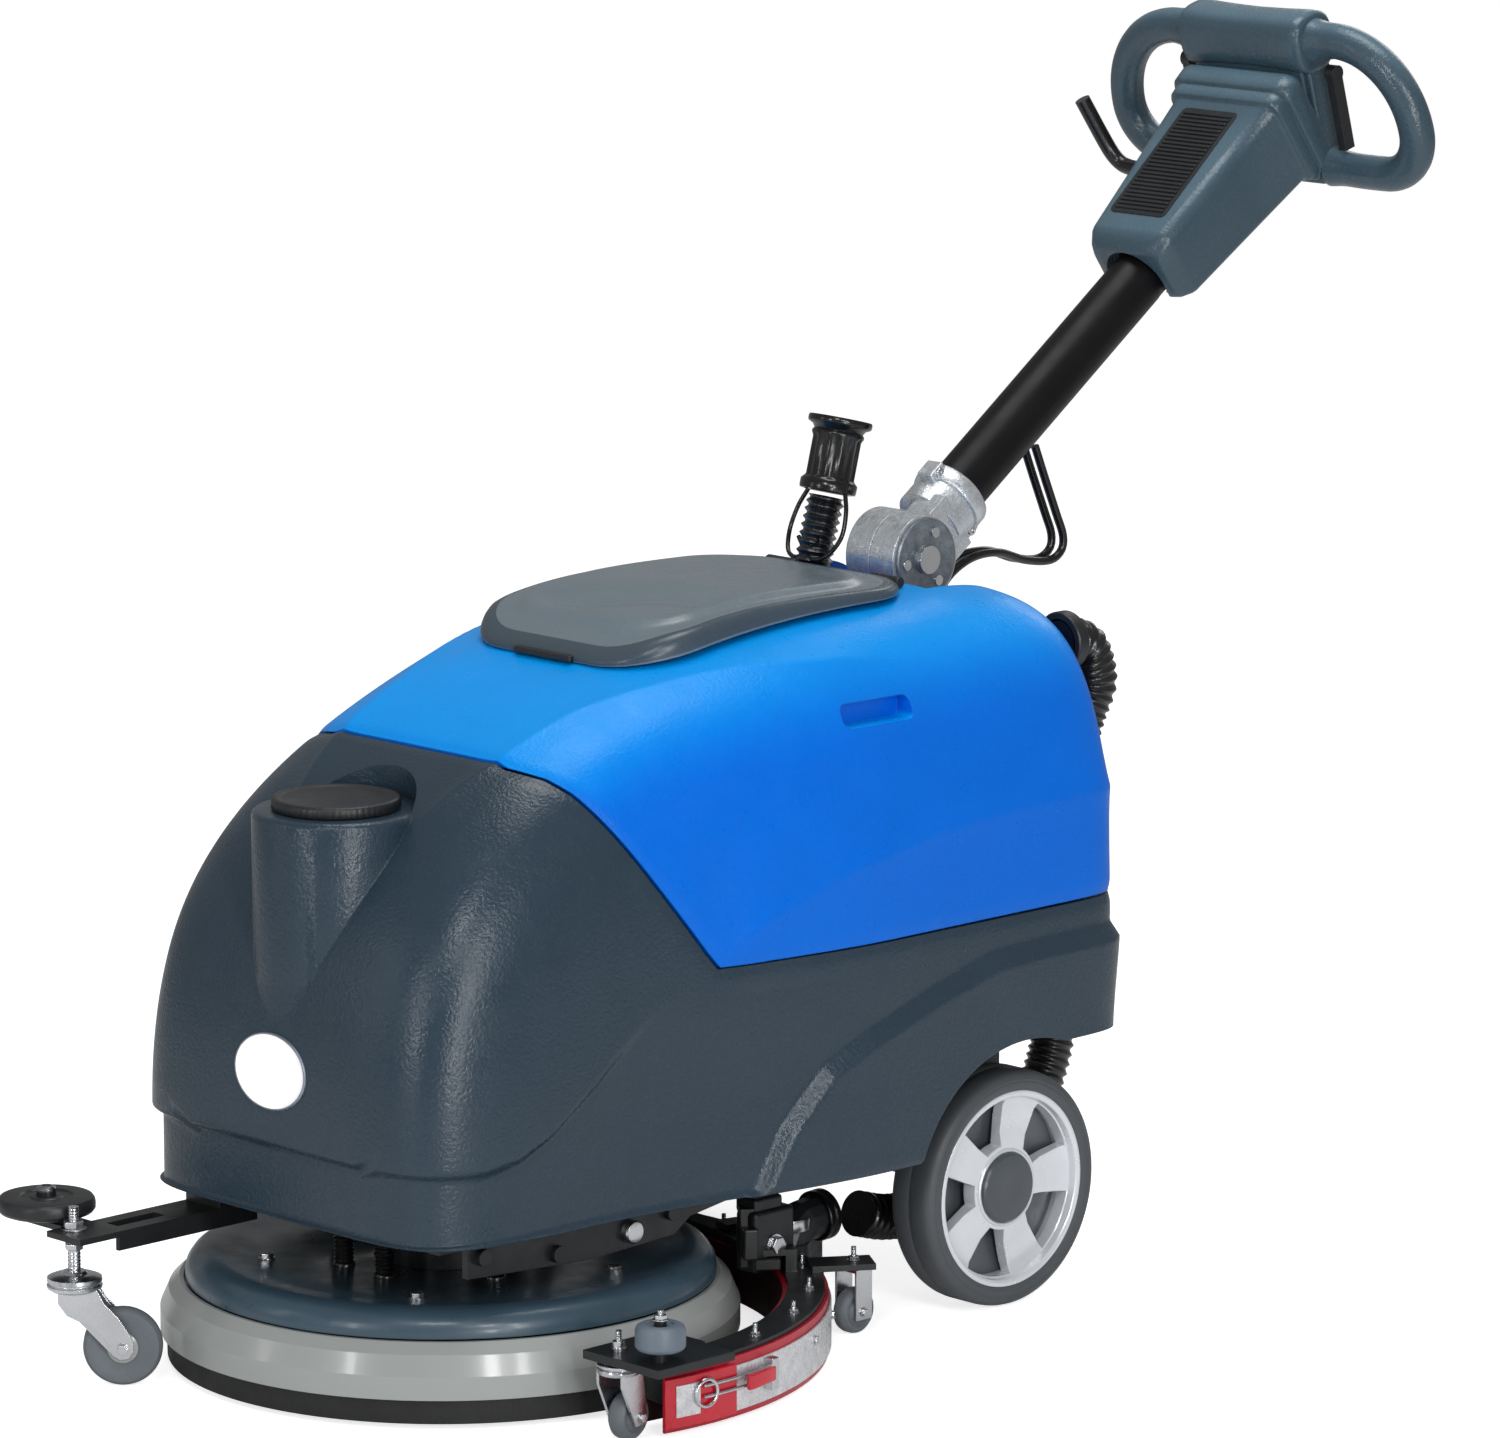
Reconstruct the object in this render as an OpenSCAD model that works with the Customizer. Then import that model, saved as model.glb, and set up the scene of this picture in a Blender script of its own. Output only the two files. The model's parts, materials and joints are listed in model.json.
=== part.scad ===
// Walk-behind disc floor scrubber-dryer ("rotary floor machine").
// Frame: origin on the floor under the middle of the rear axle, +Z up,
// the machine's front faces -Y and its left side faces +X. Millimetres.

/* [Body] */
// Half width of the body at the wheels
body_half_w = 233; // [225:1:245]
// Half width of the body at the nose
nose_half_w = 198; // [190:1:206]
// Distance from the axle to the nose
nose_reach = 618; // [610:1:626]
// Distance from the axle to the rear wall
rear_reach = 125; // [119:1:128]
// Height of the lower edge of the solution tank
sill_z = 145; // [143:1:148]
// Height of the top of the recovery tank
top_z = 588; // [580:1:596]

/* [Wheels] */
// Radius of the rear tyres
tyre_r = 100; // [95:1:104]
// Outer face of the rear wheels, from the middle
wheel_face_x = 222; // [216:1:226]
// Width of a rear tyre
tyre_w = 50; // [40:1:52]

/* [Brush deck] */
// Distance from the axle to the brush centre
deck_reach = 430; // [426:1:434]
// Outer radius of the splash ring
ring_r = 236; // [230:1:240]

/* [Squeegee] */
// Outer radius of the squeegee's rear blade round the brush centre
squeegee_r = 308; // [306:1:312]
// Half of the arc that the squeegee covers, in degrees
squeegee_half = 75; // [70:1:75]
// Direction of the squeegee's middle at rest (90 is straight behind the brush)
squeegee_aim = 66; // [64:1:70]

/* [Handle] */
// Tilt of the handle tube above the horizontal
handle_tilt = 35.7; // [30:0.1:42]
// Height of the knuckle axis
knuckle_z = 597; // [592:1:604]
// Distance of the knuckle axis behind the axle
knuckle_y = 87; // [84:1:90]
// Radius of the handle tube
tube_r = 25; // [20:1:26]

/* [Hidden] */
$fn = 64;
// middle of the part's plan outline, from the point under the axle's middle
outline_mid = [21.49, -81.885];
gap = 0.3;
run = 0.05;

// ---------------------------------------------------------------- body shape
nose_y = -nose_reach;
bow_y = -250;                 // where the nose starts to curve in
shoulder_y = -50;             // highest point of the body
stern_y = -100;               // where the rear corners start to curve in
bonnet_z = 250;               // top of the upright part of the nose
tail_z = top_z - 43;
function clamp01(v) = max(0, min(1, v));
function smooth(v) = let (c = clamp01(v)) c * c * (3 - 2 * c);
function roof(y) = y < shoulder_y
    ? bonnet_z + (top_z - bonnet_z)
        * pow(max(0, 1 - pow((shoulder_y - y) / (shoulder_y - nose_y), 2.3)), 0.42)
    : tail_z + (top_z - tail_z)
        * pow(max(0, 1 - pow((y - shoulder_y) / (rear_reach - shoulder_y), 5)), 0.34);
function side_w(y) = nose_half_w + (body_half_w - nose_half_w) * smooth((y + 450) / 300);
function taper(y) = y < bow_y
    ? pow(max(0, 1 - pow((bow_y - y) / (bow_y - nose_y), 7)), 1 / 7)
    : y > stern_y
        ? pow(max(0, 1 - pow((y - stern_y) / (rear_reach - stern_y), 14)), 1 / 14) : 1;
stations = 26;
ring_steps = 28;
round_n = 4.5;
function station_y(i) = let (c = (1 - cos(180 * i / stations)) / 2)
    (nose_y + 0.4) + (rear_reach - nose_y - 0.8) * c;
function ring_point(y, a) = let (w = side_w(y) * taper(y), h = roof(y) - sill_z,
        c = cos(a), s = sin(a))
    [sign(c) * w * pow(abs(c), 2 / round_n), y, sill_z + h * pow(max(s, 0), 2 / round_n)];

// One closed skin: superelliptic ribs from the nose to the rear wall.
module body_skin() {
    per = ring_steps + 1;
    points = [for (i = [0:stations], k = [0:ring_steps])
        ring_point(station_y(i), 180 * k / ring_steps)];
    sides = [for (i = [0:stations - 1], k = [0:ring_steps])
        let (a = i * per + k, b = i * per + (k + 1) % per)
        each [[a, b, b + per], [a, b + per, a + per]]];
    caps = [[for (k = [ring_steps:-1:0]) k], [for (k = [0:ring_steps]) stations * per + k]];
    polyhedron(points, concat(sides, caps), convexity = 6);
}

// Side outline of the recovery tank: the seam runs back along the body at
// seam_z, and climbs over the nose in front of the lid.
seam_z = 337;
seam_line = [[-326, 0], [-336, 12], [-350, 31], [-381, 73], [-404, 105], [-423, 131],
    [-436, 149], [-447, 160], [-460, 166], [-466, 400]];
module upper_region(shift) {
    rotate([90, 0, 90]) translate([0, 0, -300]) linear_extrude(600)
        polygon(concat([[200, seam_z + shift]],
            [for (p = seam_line) [p[0] + shift, p[1] + seam_z + shift * 0.4]],
            [[200, 734]]));
}

// ---------------------------------------------------------------- helpers
module slab(x0, x1, y0, y1, z0, z1) {
    translate([x0, y0, z0]) cube([x1 - x0, y1 - y0, z1 - z0]);
}
module rod_x(x0, x1, y, z, r) {
    translate([x0, y, z]) rotate([0, 90, 0]) cylinder(r = r, h = x1 - x0);
}
module disc(x, y, z0, z1, r) {
    translate([x, y, z0]) cylinder(r = r, h = z1 - z0);
}
module side_prism(x0, x1, outline) {
    translate([x0, 0, 0]) rotate([90, 0, 90]) linear_extrude(x1 - x0) polygon(outline);
}
// A round tube of facets through a list of points.
function unit(v) = v / max(norm(v), 1e-6);
function tangent(p, i) = unit(p[min(i + 1, len(p) - 1)] - p[max(i - 1, 0)]);
function cross_axis(t) = unit(cross(t, abs(t[0]) < 0.9 ? [1, 0, 0] : [0, 1, 0]));
module hose(path, r, sides = 12) {
    points = [for (i = [0:len(path) - 1]) let (t = tangent(path, i), a = cross_axis(t),
            b = cross(t, a)) for (k = [0:sides - 1])
        path[i] + r * (cos(360 * k / sides) * a + sin(360 * k / sides) * b)];
    walls = [for (i = [0:len(path) - 2], k = [0:sides - 1])
        let (a = i * sides + k, b = i * sides + (k + 1) % sides)
        each [[a, b + sides, b], [a, a + sides, b + sides]]];
    ends = [[for (k = [0:sides - 1]) k],
        [for (k = [sides - 1:-1:0]) (len(path) - 1) * sides + k]];
    polyhedron(points, concat(walls, ends), convexity = 4);
}

// ---------------------------------------------------------------- chassis
axle_r = 10;
axle_z = tyre_r;
plate_t = 6;
frame_x = 160;
plate_rear_y = -182;
arm_x = -127;
module chassis_frame() {
    color("#1c1e20") difference() {
        union() {
            slab(-frame_x, frame_x, -585, plate_rear_y, sill_z - plate_t, sill_z - 0.1);
            for (s = [-1, 1]) {
                // side skirt over the deck, rail to the rear, axle plate
                side_prism(s > 0 ? frame_x - 1 : -frame_x - 5, s > 0 ? frame_x + 5 : 1 - frame_x,
                    [[-560, 116], [-430, 108], [-335, 112], [-318, 124], [-262, 132], [-262, sill_z - 0.1],
                     [-560, sill_z - 0.1]]);
                slab(s > 0 ? 152 : -frame_x - 5, s > 0 ? frame_x + 5 : -152, -319, -50,
                    sill_z - plate_t, sill_z - 0.1);
                side_prism(s > 0 ? frame_x - 1 : -frame_x - 5, s > 0 ? frame_x + 5 : 1 - frame_x,
                    [[-75, 130], [-30, 80], [28, 80], [40, 92], [40, 214], [-30, 214], [-75, 144]]);
            }
            slab(-frame_x - 5, frame_x + 5, 14, 116, 213, 219);
            slab(-20, 20, 67, 107, 219, 534);
        }
        rod_x(-200, 200, 0, axle_z, axle_r);
        disc(0, -deck_reach, 100, 200, 66);
    }
}
module rear_axle() {
    color("#8d9093") rod_x(13 - wheel_face_x, wheel_face_x - 13, 0, axle_z, axle_r);
}
bolt_places = [[frame_x + 5, -385, 124], [frame_x + 5, -545, 132],
    [frame_x + 5, -465, 120], [frame_x + 5, -340, 132]];
module frame_bolts() {
    color("#d9dcde") for (p = bolt_places, s = [-1, 1])
        rod_x(s > 0 ? p[0] : -p[0] - 6, s > 0 ? p[0] + 6 : -p[0], p[1], p[2], 7);
}

// ---------------------------------------------------------------- tanks
cap_y = -548;
cap_z = 474;
cap_r = 51.5;
boss_r = 66;
neck_r = 46;
channel_half = 88;
channel_y = 28;
module rear_channel() {
    slab(-channel_half, channel_half, channel_y, 200, 100, 700);
}
module wheel_well() { rod_x(-300, 300, 0, axle_z, tyre_r + 30); }
module lower_tank() {
    color("#38474f") difference() {
        union() {
            difference() {
                body_skin();
                upper_region(-1);
                translate([0, cap_y + 12, cap_z - 5]) cylinder(r = boss_r - 2, h = 200);
            }
            disc(0, cap_y, 330, cap_z - 5, boss_r);
        }
        // filler neck, solution space and battery bay
        disc(0, cap_y, 300, 500, neck_r);
        slab(-150, 150, -575, -350, 158, 330);
        slab(-110, 110, -520, -380, 320, 400);
        slab(-156, 156, -330, -184, 158, 400);
        // tunnel for the suction elbow
        slab(-150, 150, -180, 0, 100, 196);
        slab(-60, 60, -62, 24, 236, 400);
        rear_channel();
        wheel_well();
        slab(-300, 300, 0, 200, 100, 222);
    }
}
module filler_cap() {
    color("#16181a") difference() {
        union() {
            disc(0, cap_y, cap_z - 4.5, cap_z + 5, cap_r);
            disc(0, cap_y, cap_z - 20, cap_z - 4.5, neck_r - 1);
        }
        disc(0, cap_y, cap_z - 21, cap_z - 6, neck_r - 5);
    }
}
lid_hinge_y = 4;
lid_front_y = -322;
lid_half = 116;
lid_hole = [-84, 84, -290, -62];
module recovery_tank() {
    color("#0a72dc") difference() {
        intersection() { body_skin(); upper_region(1); }
        slab(-165, 165, -300, 18, 346, 520);
        slab(lid_hole[0], lid_hole[1], lid_hole[2], lid_hole[3], 510, 700);
        rear_channel();
        // grip recesses in both sides
        for (s = [-1, 1]) slab(s > 0 ? 180 : -260, s > 0 ? 260 : -180, -184, -100, 509, 535);
    }
}
module rounded_box(x0, x1, y0, y1, z0, z1, r) {
    slab(x0 + r, x1 - r, y0, y1, z0, z1);
    slab(x0, x1, y0 + r, y1 - r, z0, z1);
    for (x = [x0 + r, x1 - r], y = [y0 + r, y1 - r]) disc(x, y, z0, z1, r);
}
module tank_lid() {
    color("#62686c") {
        difference() {
            intersection() {
                rounded_box(-lid_half, lid_half, lid_front_y, lid_hinge_y, 500, 700, 38);
                side_prism(-200, 200, concat(
                    [for (y = [lid_front_y - 10:30:40])
                        [y, roof(y) + 19 * smooth((y - lid_front_y + 42) / 90)
                            - 9 * smooth((y - lid_front_y - 70) / 220)]],
                    [[28, 520], [lid_front_y - 10, 520]]));
            }
            translate([0, 0, 1.5]) body_skin();
        }
        difference() {
            slab(-76, 76, -282, -74, 545, 572);
            slab(-70, 70, -276, -80, 500, 570);
        }
    }
}
module lid_seal() {
    color("#202224") difference() {
        slab(-82, 82, -288, -68, 546, 552);
        slab(-76.2, 76.2, -282.2, -73.8, 500, 600);
    }
}
module battery_pack() {
    color("#2b2f33") for (s = [-1, 1])
        slab(s > 0 ? 4 : -148, s > 0 ? 148 : -4, -326, -188, 158.2, 318);
}
module vacuum_motor() {
    color("#6d7377") {
        disc(0, -19, 236.2, 300, 38);
        disc(0, -19, 300, 328, 26);
    }
}
module badge() {
    color("#f2f3f4") intersection() {
        difference() { translate([0, -2.4, 0]) body_skin(); translate([0, -0.3, 0]) body_skin(); }
        translate([0, -600, 268]) rotate([90, 0, 0]) scale([1, 0.78, 1])
            cylinder(r = 40, h = 60);
    }
}

// ---------------------------------------------------------------- hoses
drain_x = -70;
drain_foot = [drain_x, 62, 372];
drain_bend = [drain_x, 52, 584];
drain_tilt = 15;
drain_top = drain_bend + 62 * [0, sin(drain_tilt), cos(drain_tilt)];
module drain_hose() {
    color("#1a1b1c") hose([drain_foot, drain_foot + [0, 0, 60], [drain_x, 56, 530],
        drain_bend, drain_top], 15);
}
module drain_plug() {
    color("#111213") translate(drain_top + 0.5 * [0, sin(drain_tilt), cos(drain_tilt)])
        rotate([-drain_tilt, 0, 0]) {
            cylinder(r = 21, h = 56);
            translate([0, 0, 56]) cylinder(r = 27, h = 8);
        }
}
function round_deck(r, a, z) = [r * cos(a), r * sin(a) - deck_reach, z];
neck_r0 = 291;
neck_top = round_deck(neck_r0, squeegee_aim, 96);
module suction_hose() {
    color("#161718") hose([[122, -84, 76], [122, -50, 67], [120, 0, 64], [119, 50, 72],
        [118, 105, 108], [118, 146, 164], [118, 158, 230], [124, 156, 340], [132, 156, 420],
        [142, 162, 466], [148, 170, 497], [148, 161, 526], [148, 144, 536],
        [148, rear_reach + 0.8, 537]], 19, 14);
}

// ---------------------------------------------------------------- rear wheels
rim_r = 83;
hub_r = 30;
module tyre(s) {
    color("#3c4043") translate([s * (wheel_face_x - tyre_w / 2), 0, axle_z])
        rotate([0, 90, 0]) rotate_extrude()
            polygon([[rim_r, -tyre_w / 2], [tyre_r - 8, -tyre_w / 2], [tyre_r - 2, 6 - tyre_w / 2],
                [tyre_r, 12 - tyre_w / 2], [tyre_r, tyre_w / 2 - 12], [tyre_r - 2, tyre_w / 2 - 6],
                [tyre_r - 8, tyre_w / 2], [rim_r, tyre_w / 2]]);
}
module rim(s) {
    x_in = wheel_face_x - tyre_w + 2;
    color("#c9cccd") translate([s * (x_in + 23), 0, axle_z]) rotate([0, s * 90, 0])
        difference() {
            union() {
                difference() {
                    translate([0, 0, -23]) cylinder(r = rim_r - run, h = 46);
                    translate([0, 0, -24]) cylinder(r = rim_r - 6, h = 50);
                }
                translate([0, 0, -23]) cylinder(r = 22, h = 36);
                for (k = [0:4]) rotate([0, 0, s * (93 + 72 * k)]) translate([15, -13, 0])
                    cube([rim_r - 18, 26, 12]);
                cylinder(r = hub_r + 4, h = 12);
            }
            translate([0, 0, -30]) cylinder(r = axle_r + run, h = 60);
        }
}
module hub_cap(s) {
    x0 = wheel_face_x - tyre_w + 2 + 23 + 13.1;
    color("#33383c") rod_x(s > 0 ? x0 : -x0 - 7, s > 0 ? x0 + 7 : -x0, 0, axle_z, hub_r);
}

// ---------------------------------------------------------------- handle
knuckle_r = 38;
tube_end_r = tube_r - 0.4;    // turned down inside the socket and the head
knuckle_half = 28;
part_n = 22;
module at_handle() {
    translate([0, knuckle_y, knuckle_z]) rotate([handle_tilt, 0, 0]) children();
}
module knuckle_base() {
    color("#b4b7b8") difference() {
        union() {
            rod_x(-knuckle_half, -gap, knuckle_y, knuckle_z, knuckle_r);
            slab(-knuckle_half, -gap, knuckle_y - 24, knuckle_y + 24, 550, knuckle_z);
            slab(-knuckle_half, knuckle_half, knuckle_y - 24, knuckle_y + 24, 534.2, 555);
        }
        rod_x(-60, 60, knuckle_y, knuckle_z, 8 + run);
    }
}
module knuckle_yoke() {
    color("#b9bcbd") at_handle() difference() {
        union() {
            rod_x(gap, knuckle_half, 0, 0, knuckle_r);
            slab(gap, knuckle_half, 0, 50, -27, 27);
            translate([0, 42, 0]) rotate([-90, 0, 0]) cylinder(r = tube_r + 6, h = 38);
        }
        rod_x(-60, 60, 0, 0, 8 + run);
        translate([0, 50, 0]) rotate([-90, 0, 0]) cylinder(r = tube_end_r + run, h = 60);
    }
}
module knuckle_screws() {
    color("#d5d8d9") at_handle() {
        rod_x(-knuckle_half - 8, knuckle_half + 0.2, 0, 0, 8);
        rod_x(knuckle_half + 0.2, knuckle_half + 7, 0, 0, 12);
        for (a = [30, 150, 270]) rod_x(knuckle_half + 0.1, knuckle_half + 4,
            24 * cos(a), 24 * sin(a), 4.5);
    }
}
module handle_tube() {
    color("#121314") at_handle() difference() {
        union() {
            translate([0, 50.2, 0]) rotate([-90, 0, 0]) cylinder(r = tube_end_r, h = 420);
            translate([0, 80.2, 0]) rotate([-90, 0, 0]) cylinder(r = tube_r, h = 274.6);
        }
        translate([0, 40, 0]) rotate([-90, 0, 0]) cylinder(r = tube_r - 2.5, h = 450);
    }
}
module head_solid(inset) {
    intersection() {
        side_prism(-100, 100, [[355 + inset, -18 + inset], [355 + inset, 34 - inset],
            [370 + inset, 43 - inset], [560, 60 - inset], [560, -24 + inset],
            [366 + inset, -24 + inset]]);
        translate([0, 0, -100]) linear_extrude(250) polygon([
            [-40 + inset, 355 + inset], [40 - inset, 355 + inset], [47 - inset, 374],
            [62 - inset, 561], [inset - 62, 561], [inset - 47, 374]]);
    }
    at_loop() {
        slab(inset - 70, 70 - inset, inset - 16, 16 - inset, inset - 74, 58 - inset);
        slab(inset - 68, 68 - inset, inset - 20, 22 - inset, 30 + inset, 80 - inset);
    }
}
module head_shell() {
    difference() {
        head_solid(0);
        head_solid(4);
        translate([0, 300, 0]) rotate([-90, 0, 0]) cylinder(r = tube_end_r + run, h = 180);
        at_panel() slab(-28, 28, -64, 64, -2.2, 20);
        at_loop() {
            translate([34, 0, 0]) rotate([-90, 0, 0]) cylinder(r = 9.5, h = 30);
            slab(-42, -22, 10, 30, -14, 14);
        }
    }
}
module at_panel() { translate([0, 452, 50.3]) rotate([5.1, 0, 0]) children(); }
module at_loop() { translate([0, 574, 22]) rotate([-loop_tilt, 0, 0]) children(); }
module head_front() {
    color("#414f59") at_handle() intersection() {
        head_shell();
        slab(-120, 120, 300, 700, part_n + gap / 2, 200);
    }
}
module head_rear() {
    color("#3d4b55") at_handle() intersection() {
        head_shell();
        slab(-120, 120, 300, 700, -200, part_n - gap / 2);
    }
}
module vent_panel() {
    color("#202427") at_handle() at_panel() {
        slab(-27.5, 27.5, -63.5, 63.5, -2.1, 0.6);
        for (k = [-9:9]) slab(-24, 24, 6 * k - 1.2, 6 * k + 1.2, 0.6, 1.8);
    }
}
loop_tilt = 20;
grip_r = 14;
loop_reach = 170;
loop_half = 60;
upper_bend = 78;
lower_bend = 44;
module grip_bend(r, a0) {
    translate([loop_reach - r, 0, loop_half - upper_bend]) rotate([90, 0, 0]) rotate([0, 0, a0])
        rotate_extrude(angle = 90) translate([r, 0]) circle(r = grip_r);
}
module handle_loop() {
    rod_x(70.3, loop_reach - upper_bend, 0, loop_half, grip_r);
    grip_bend(upper_bend, 0);
    grip_bend(lower_bend, 270);
    rod_x(70.3, loop_reach - lower_bend, 0, loop_half - upper_bend - lower_bend, grip_r);
}
module handle_loops() {
    color("#46545e") at_handle() at_loop() {
        handle_loop();
        mirror([1, 0, 0]) handle_loop();
    }
}
lever_z = 30;
module switch_lever(s) {
    color("#15171a") at_handle() at_loop() {
        rod_x(s > 0 ? 80 : -90, s > 0 ? 90 : -80, 0, lever_z, 7);
        slab(s > 0 ? 81 : -89, s > 0 ? 89 : -81, -6, 6, -40, lever_z);
    }
}
module key_switch() {
    color("#c2c5c7") at_handle() at_loop() {
        translate([34, 12.5, 0]) rotate([-90, 0, 0]) cylinder(r = 9, h = 6);
        slab(32.5, 35.5, 18, 34, -9, 9);
    }
}
module rocker_switch() {
    color("#b3231f") at_handle() at_loop() slab(-41.5, -22.5, 12.5, 20, -13, 13);
}
module cable_hook() {
    color("#101112") at_handle() hose([[-55.5, 458, 34], [-70, 459, 31], [-82, 461, 31],
        [-90, 463, 38], [-95, 466, 54], [-104, 472, 94]], 5.5, 10);
}
cable_line = [[244, 673.5], [256, 645], [270, 612], [278, 592], [276, 579], [262, 572],
    [232, 576], [196, 587], [160, 585], [132, 567]];
module control_cables() {
    color("#141516") for (x = [-7, 7]) hose([for (p = cable_line) [x, p[0], p[1]]], 3.6, 8);
}

// ---------------------------------------------------------------- brush deck
module deck_turn(profile) {
    translate([0, -deck_reach, 0]) rotate_extrude($fn = 96) polygon(profile);
}
module deck_plate() {
    color("#2c3840") deck_turn([[8 + run, 60], [199, 60], [203, 62.2], [216, 62.2],
        [216, 70], [206, 80], [190, 84], [70, 84], [66, 80], [8 + run, 80]]);
}
module splash_ring() {
    color("#8e9391") deck_turn([[216.6, 62], [204, 62], [204, 56], [222, 56],
        [228, 25], [ring_r, 25], [ring_r, 44], [229, 60], [220, 68.4], [216.6, 68.4]]);
}
module deck_skirt() {
    color("#141516") deck_turn([[223, 6], [232, 6], [234, 24.8], [228.4, 24.8]]);
}
module gearmotor() {
    color("#17191b") translate([0, -deck_reach, 0]) {
        difference() {
            cylinder(r = 58, h = 120);
            translate([0, 0, -1]) cylinder(r = 70, h = 81.2);
            cylinder(r = 8 + run, h = 112);
        }
    }
}
module clutch_plate() {
    color("#d2d5d6") translate([0, -deck_reach, 0]) {
        disc(0, 0, 46.2, 54, 46);
        for (k = [0:2]) rotate([0, 0, 120 * k]) slab(30, 60, -10, 10, 46.2, 52);
        disc(0, 0, 54, 108, 8);
    }
}
module brush_block() {
    color("#1a1b1c") deck_turn([[62, 30], [198, 30], [200, 34], [200, 44], [62, 46]]);
    color("#1a1b1c") deck_turn([[20, 38], [61, 38], [61, 46], [20, 46]]);
    color("#1a1b1c") deck_turn([[60, 36], [63, 36], [63, 45.9], [60, 45.9]]);
}
module brush_bristles() {
    color("#8a867c") deck_turn([[72, 1], [206, 1], [196, 29.9], [76, 29.9]]);
}

// ---------------------------------------------------------------- squeegee
blade_t = 3;
channel_r = squeegee_r - 34;
module sweep_band(r0, r1, z0, z1, trim = 0) {
    translate([0, -deck_reach, 0]) rotate([0, 0, squeegee_aim - squeegee_half + trim])
        rotate_extrude(angle = 2 * squeegee_half - 2 * trim, $fn = 96)
            polygon([[r0, z0], [r1, z0], [r1, z1], [r0, z1]]);
}
module at_round(r, a) {
    translate([0, -deck_reach, 0]) rotate([0, 0, a]) translate([r, 0, 0]) children();
}
caster_at = [288, -512];      // end caster and bumper roller of the near end
roller_at = [330, -507];
// Shapes of one end, drawn at the near end and mirrored for the far end.
module at_end(far) {
    translate([0, -deck_reach, 0]) rotate([0, 0, squeegee_aim]) mirror([0, far, 0])
        rotate([0, 0, -squeegee_aim]) translate([0, deck_reach, 0]) children();
}
function end_place(p, far) = let (x = p[0], y = p[1] + deck_reach, c = cos(2 * squeegee_aim),
        s = sin(2 * squeegee_aim))
    far == 0 ? p : [c * x + s * y, s * x - c * y - deck_reach];
module end_bracket() {
    slab(264, 350, -528, -446, 66, 73);
    slab(276, 300, -452, -430, 50, 68);
    disc(roller_at[0], roller_at[1], 68, 106, 5);
}
module squeegee_body() {
    color("#1b1d1f") difference() {
        union() {
            sweep_band(channel_r + gap, squeegee_r - blade_t - gap, 26, 56);
            for (far = [0, 1]) at_end(far) end_bracket();
            for (a = rear_caster_deg) at_round(0, a) {
                slab(297, 350, -15, 15, 56, 61);
                slab(297, 303, -15, 15, 50, 58);
            }
            // shoes that hang the squeegee on its curved rail
            for (a = [-10, 10]) at_round(0, squeegee_aim + a) {
                slab(254, 285, -10, 10, 70, 75);
                slab(275.5, 285, -10, 10, 50, 72);
            }
            // neck and elbow for the suction hose
            translate([neck_top[0], neck_top[1], 54]) cylinder(r = 20, h = 12);
            hose([[neck_top[0], neck_top[1], 62], [neck_top[0], neck_top[1] + 5, 72],
                [neck_top[0], neck_top[1] + 18, 80], [neck_top[0], neck_top[1] + 44, 82]], 18, 13);
        }
        translate([neck_top[0], neck_top[1], 20]) cylinder(r = 8, h = 50);
        for (far = [0, 1]) at_end(far) translate([caster_at[0], caster_at[1], 60])
            cylinder(r = 5 + run, h = 20);
    }
}
rail_r = 250;
module squeegee_carrier() {
    color("#1d1f21") {
        translate([0, -deck_reach, 0]) rotate([0, 0, 52]) rotate_extrude(angle = 76, $fn = 96)
            polygon([[rail_r, 61], [rail_r + 20, 61], [rail_r + 20, 69], [rail_r, 69]]);
        for (a = [56, 124]) at_round(0, a) slab(238.5, 252, -8, 8, 61, 110);
    }
}
module front_blade() {
    color("#c3202d") sweep_band(channel_r - blade_t, channel_r, 4, 52);
}
module rear_blade() {
    color("#c3202d") sweep_band(squeegee_r - blade_t, squeegee_r, 3, 52);
}
module blade_strap() {
    color("#c4c7c9") sweep_band(squeegee_r + gap, squeegee_r + 2, 26, 44, 5);
}
latch_deg = 12;
module strap_latch() {
    color("#b9252c") at_round(squeegee_r + 6.2, latch_deg) {
        translate([0, 0, 6]) cylinder(r = 4, h = 46);
        slab(0.5, 5, -34, 0, 31, 43);
    }
}

// ---------------------------------------------------------------- casters
module caster_fork(at, trail_deg, wheel_r, trail, plate_z, stem_h = 20) {
    color("#c0c3c5") translate([at[0], at[1], 0]) rotate([0, 0, trail_deg]) {
        translate([0, 0, plate_z - 8]) cylinder(r = 15, h = 7.8);
        translate([0, 0, plate_z - 4]) cylinder(r = 5, h = stem_h);
        for (s = [-1, 1]) side_fork(s, wheel_r, trail, plate_z);
        translate([trail, 13, wheel_r]) rotate([90, 0, 0]) cylinder(r = 3, h = 26);
    }
}
module side_fork(s, wheel_r, trail, plate_z) {
    translate([0, s > 0 ? 13 : -10.5, 0]) rotate([90, 0, 0]) linear_extrude(2.5)
        polygon([[-12, plate_z - 7], [14, plate_z - 7], [trail + 7, wheel_r + 4],
            [trail + 7, wheel_r - 6], [trail - 7, wheel_r - 6], [-12, plate_z - 18]]);
}
module caster_wheel(at, trail_deg, wheel_r, trail) {
    color("#777c82") translate([at[0], at[1], 0]) rotate([0, 0, trail_deg])
        translate([trail, 0, wheel_r]) rotate([90, 0, 0]) rotate_extrude()
            polygon([[3 + run, -9.5], [9, -9.5], [9, -8], [wheel_r - 4, -8], [wheel_r, -4],
                [wheel_r, 4], [wheel_r - 4, 8], [9, 8], [9, 9.5], [3 + run, 9.5]]);
}
front_stem = [-136, -712];
front_wheel_r = 32;
front_trail = 38;
end_wheel_r = 19;
end_trail = 12;
near_stem = caster_at;
far_stem = end_place(caster_at, 1);
near_trail_deg = 100;
far_trail_deg = 100;
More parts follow.
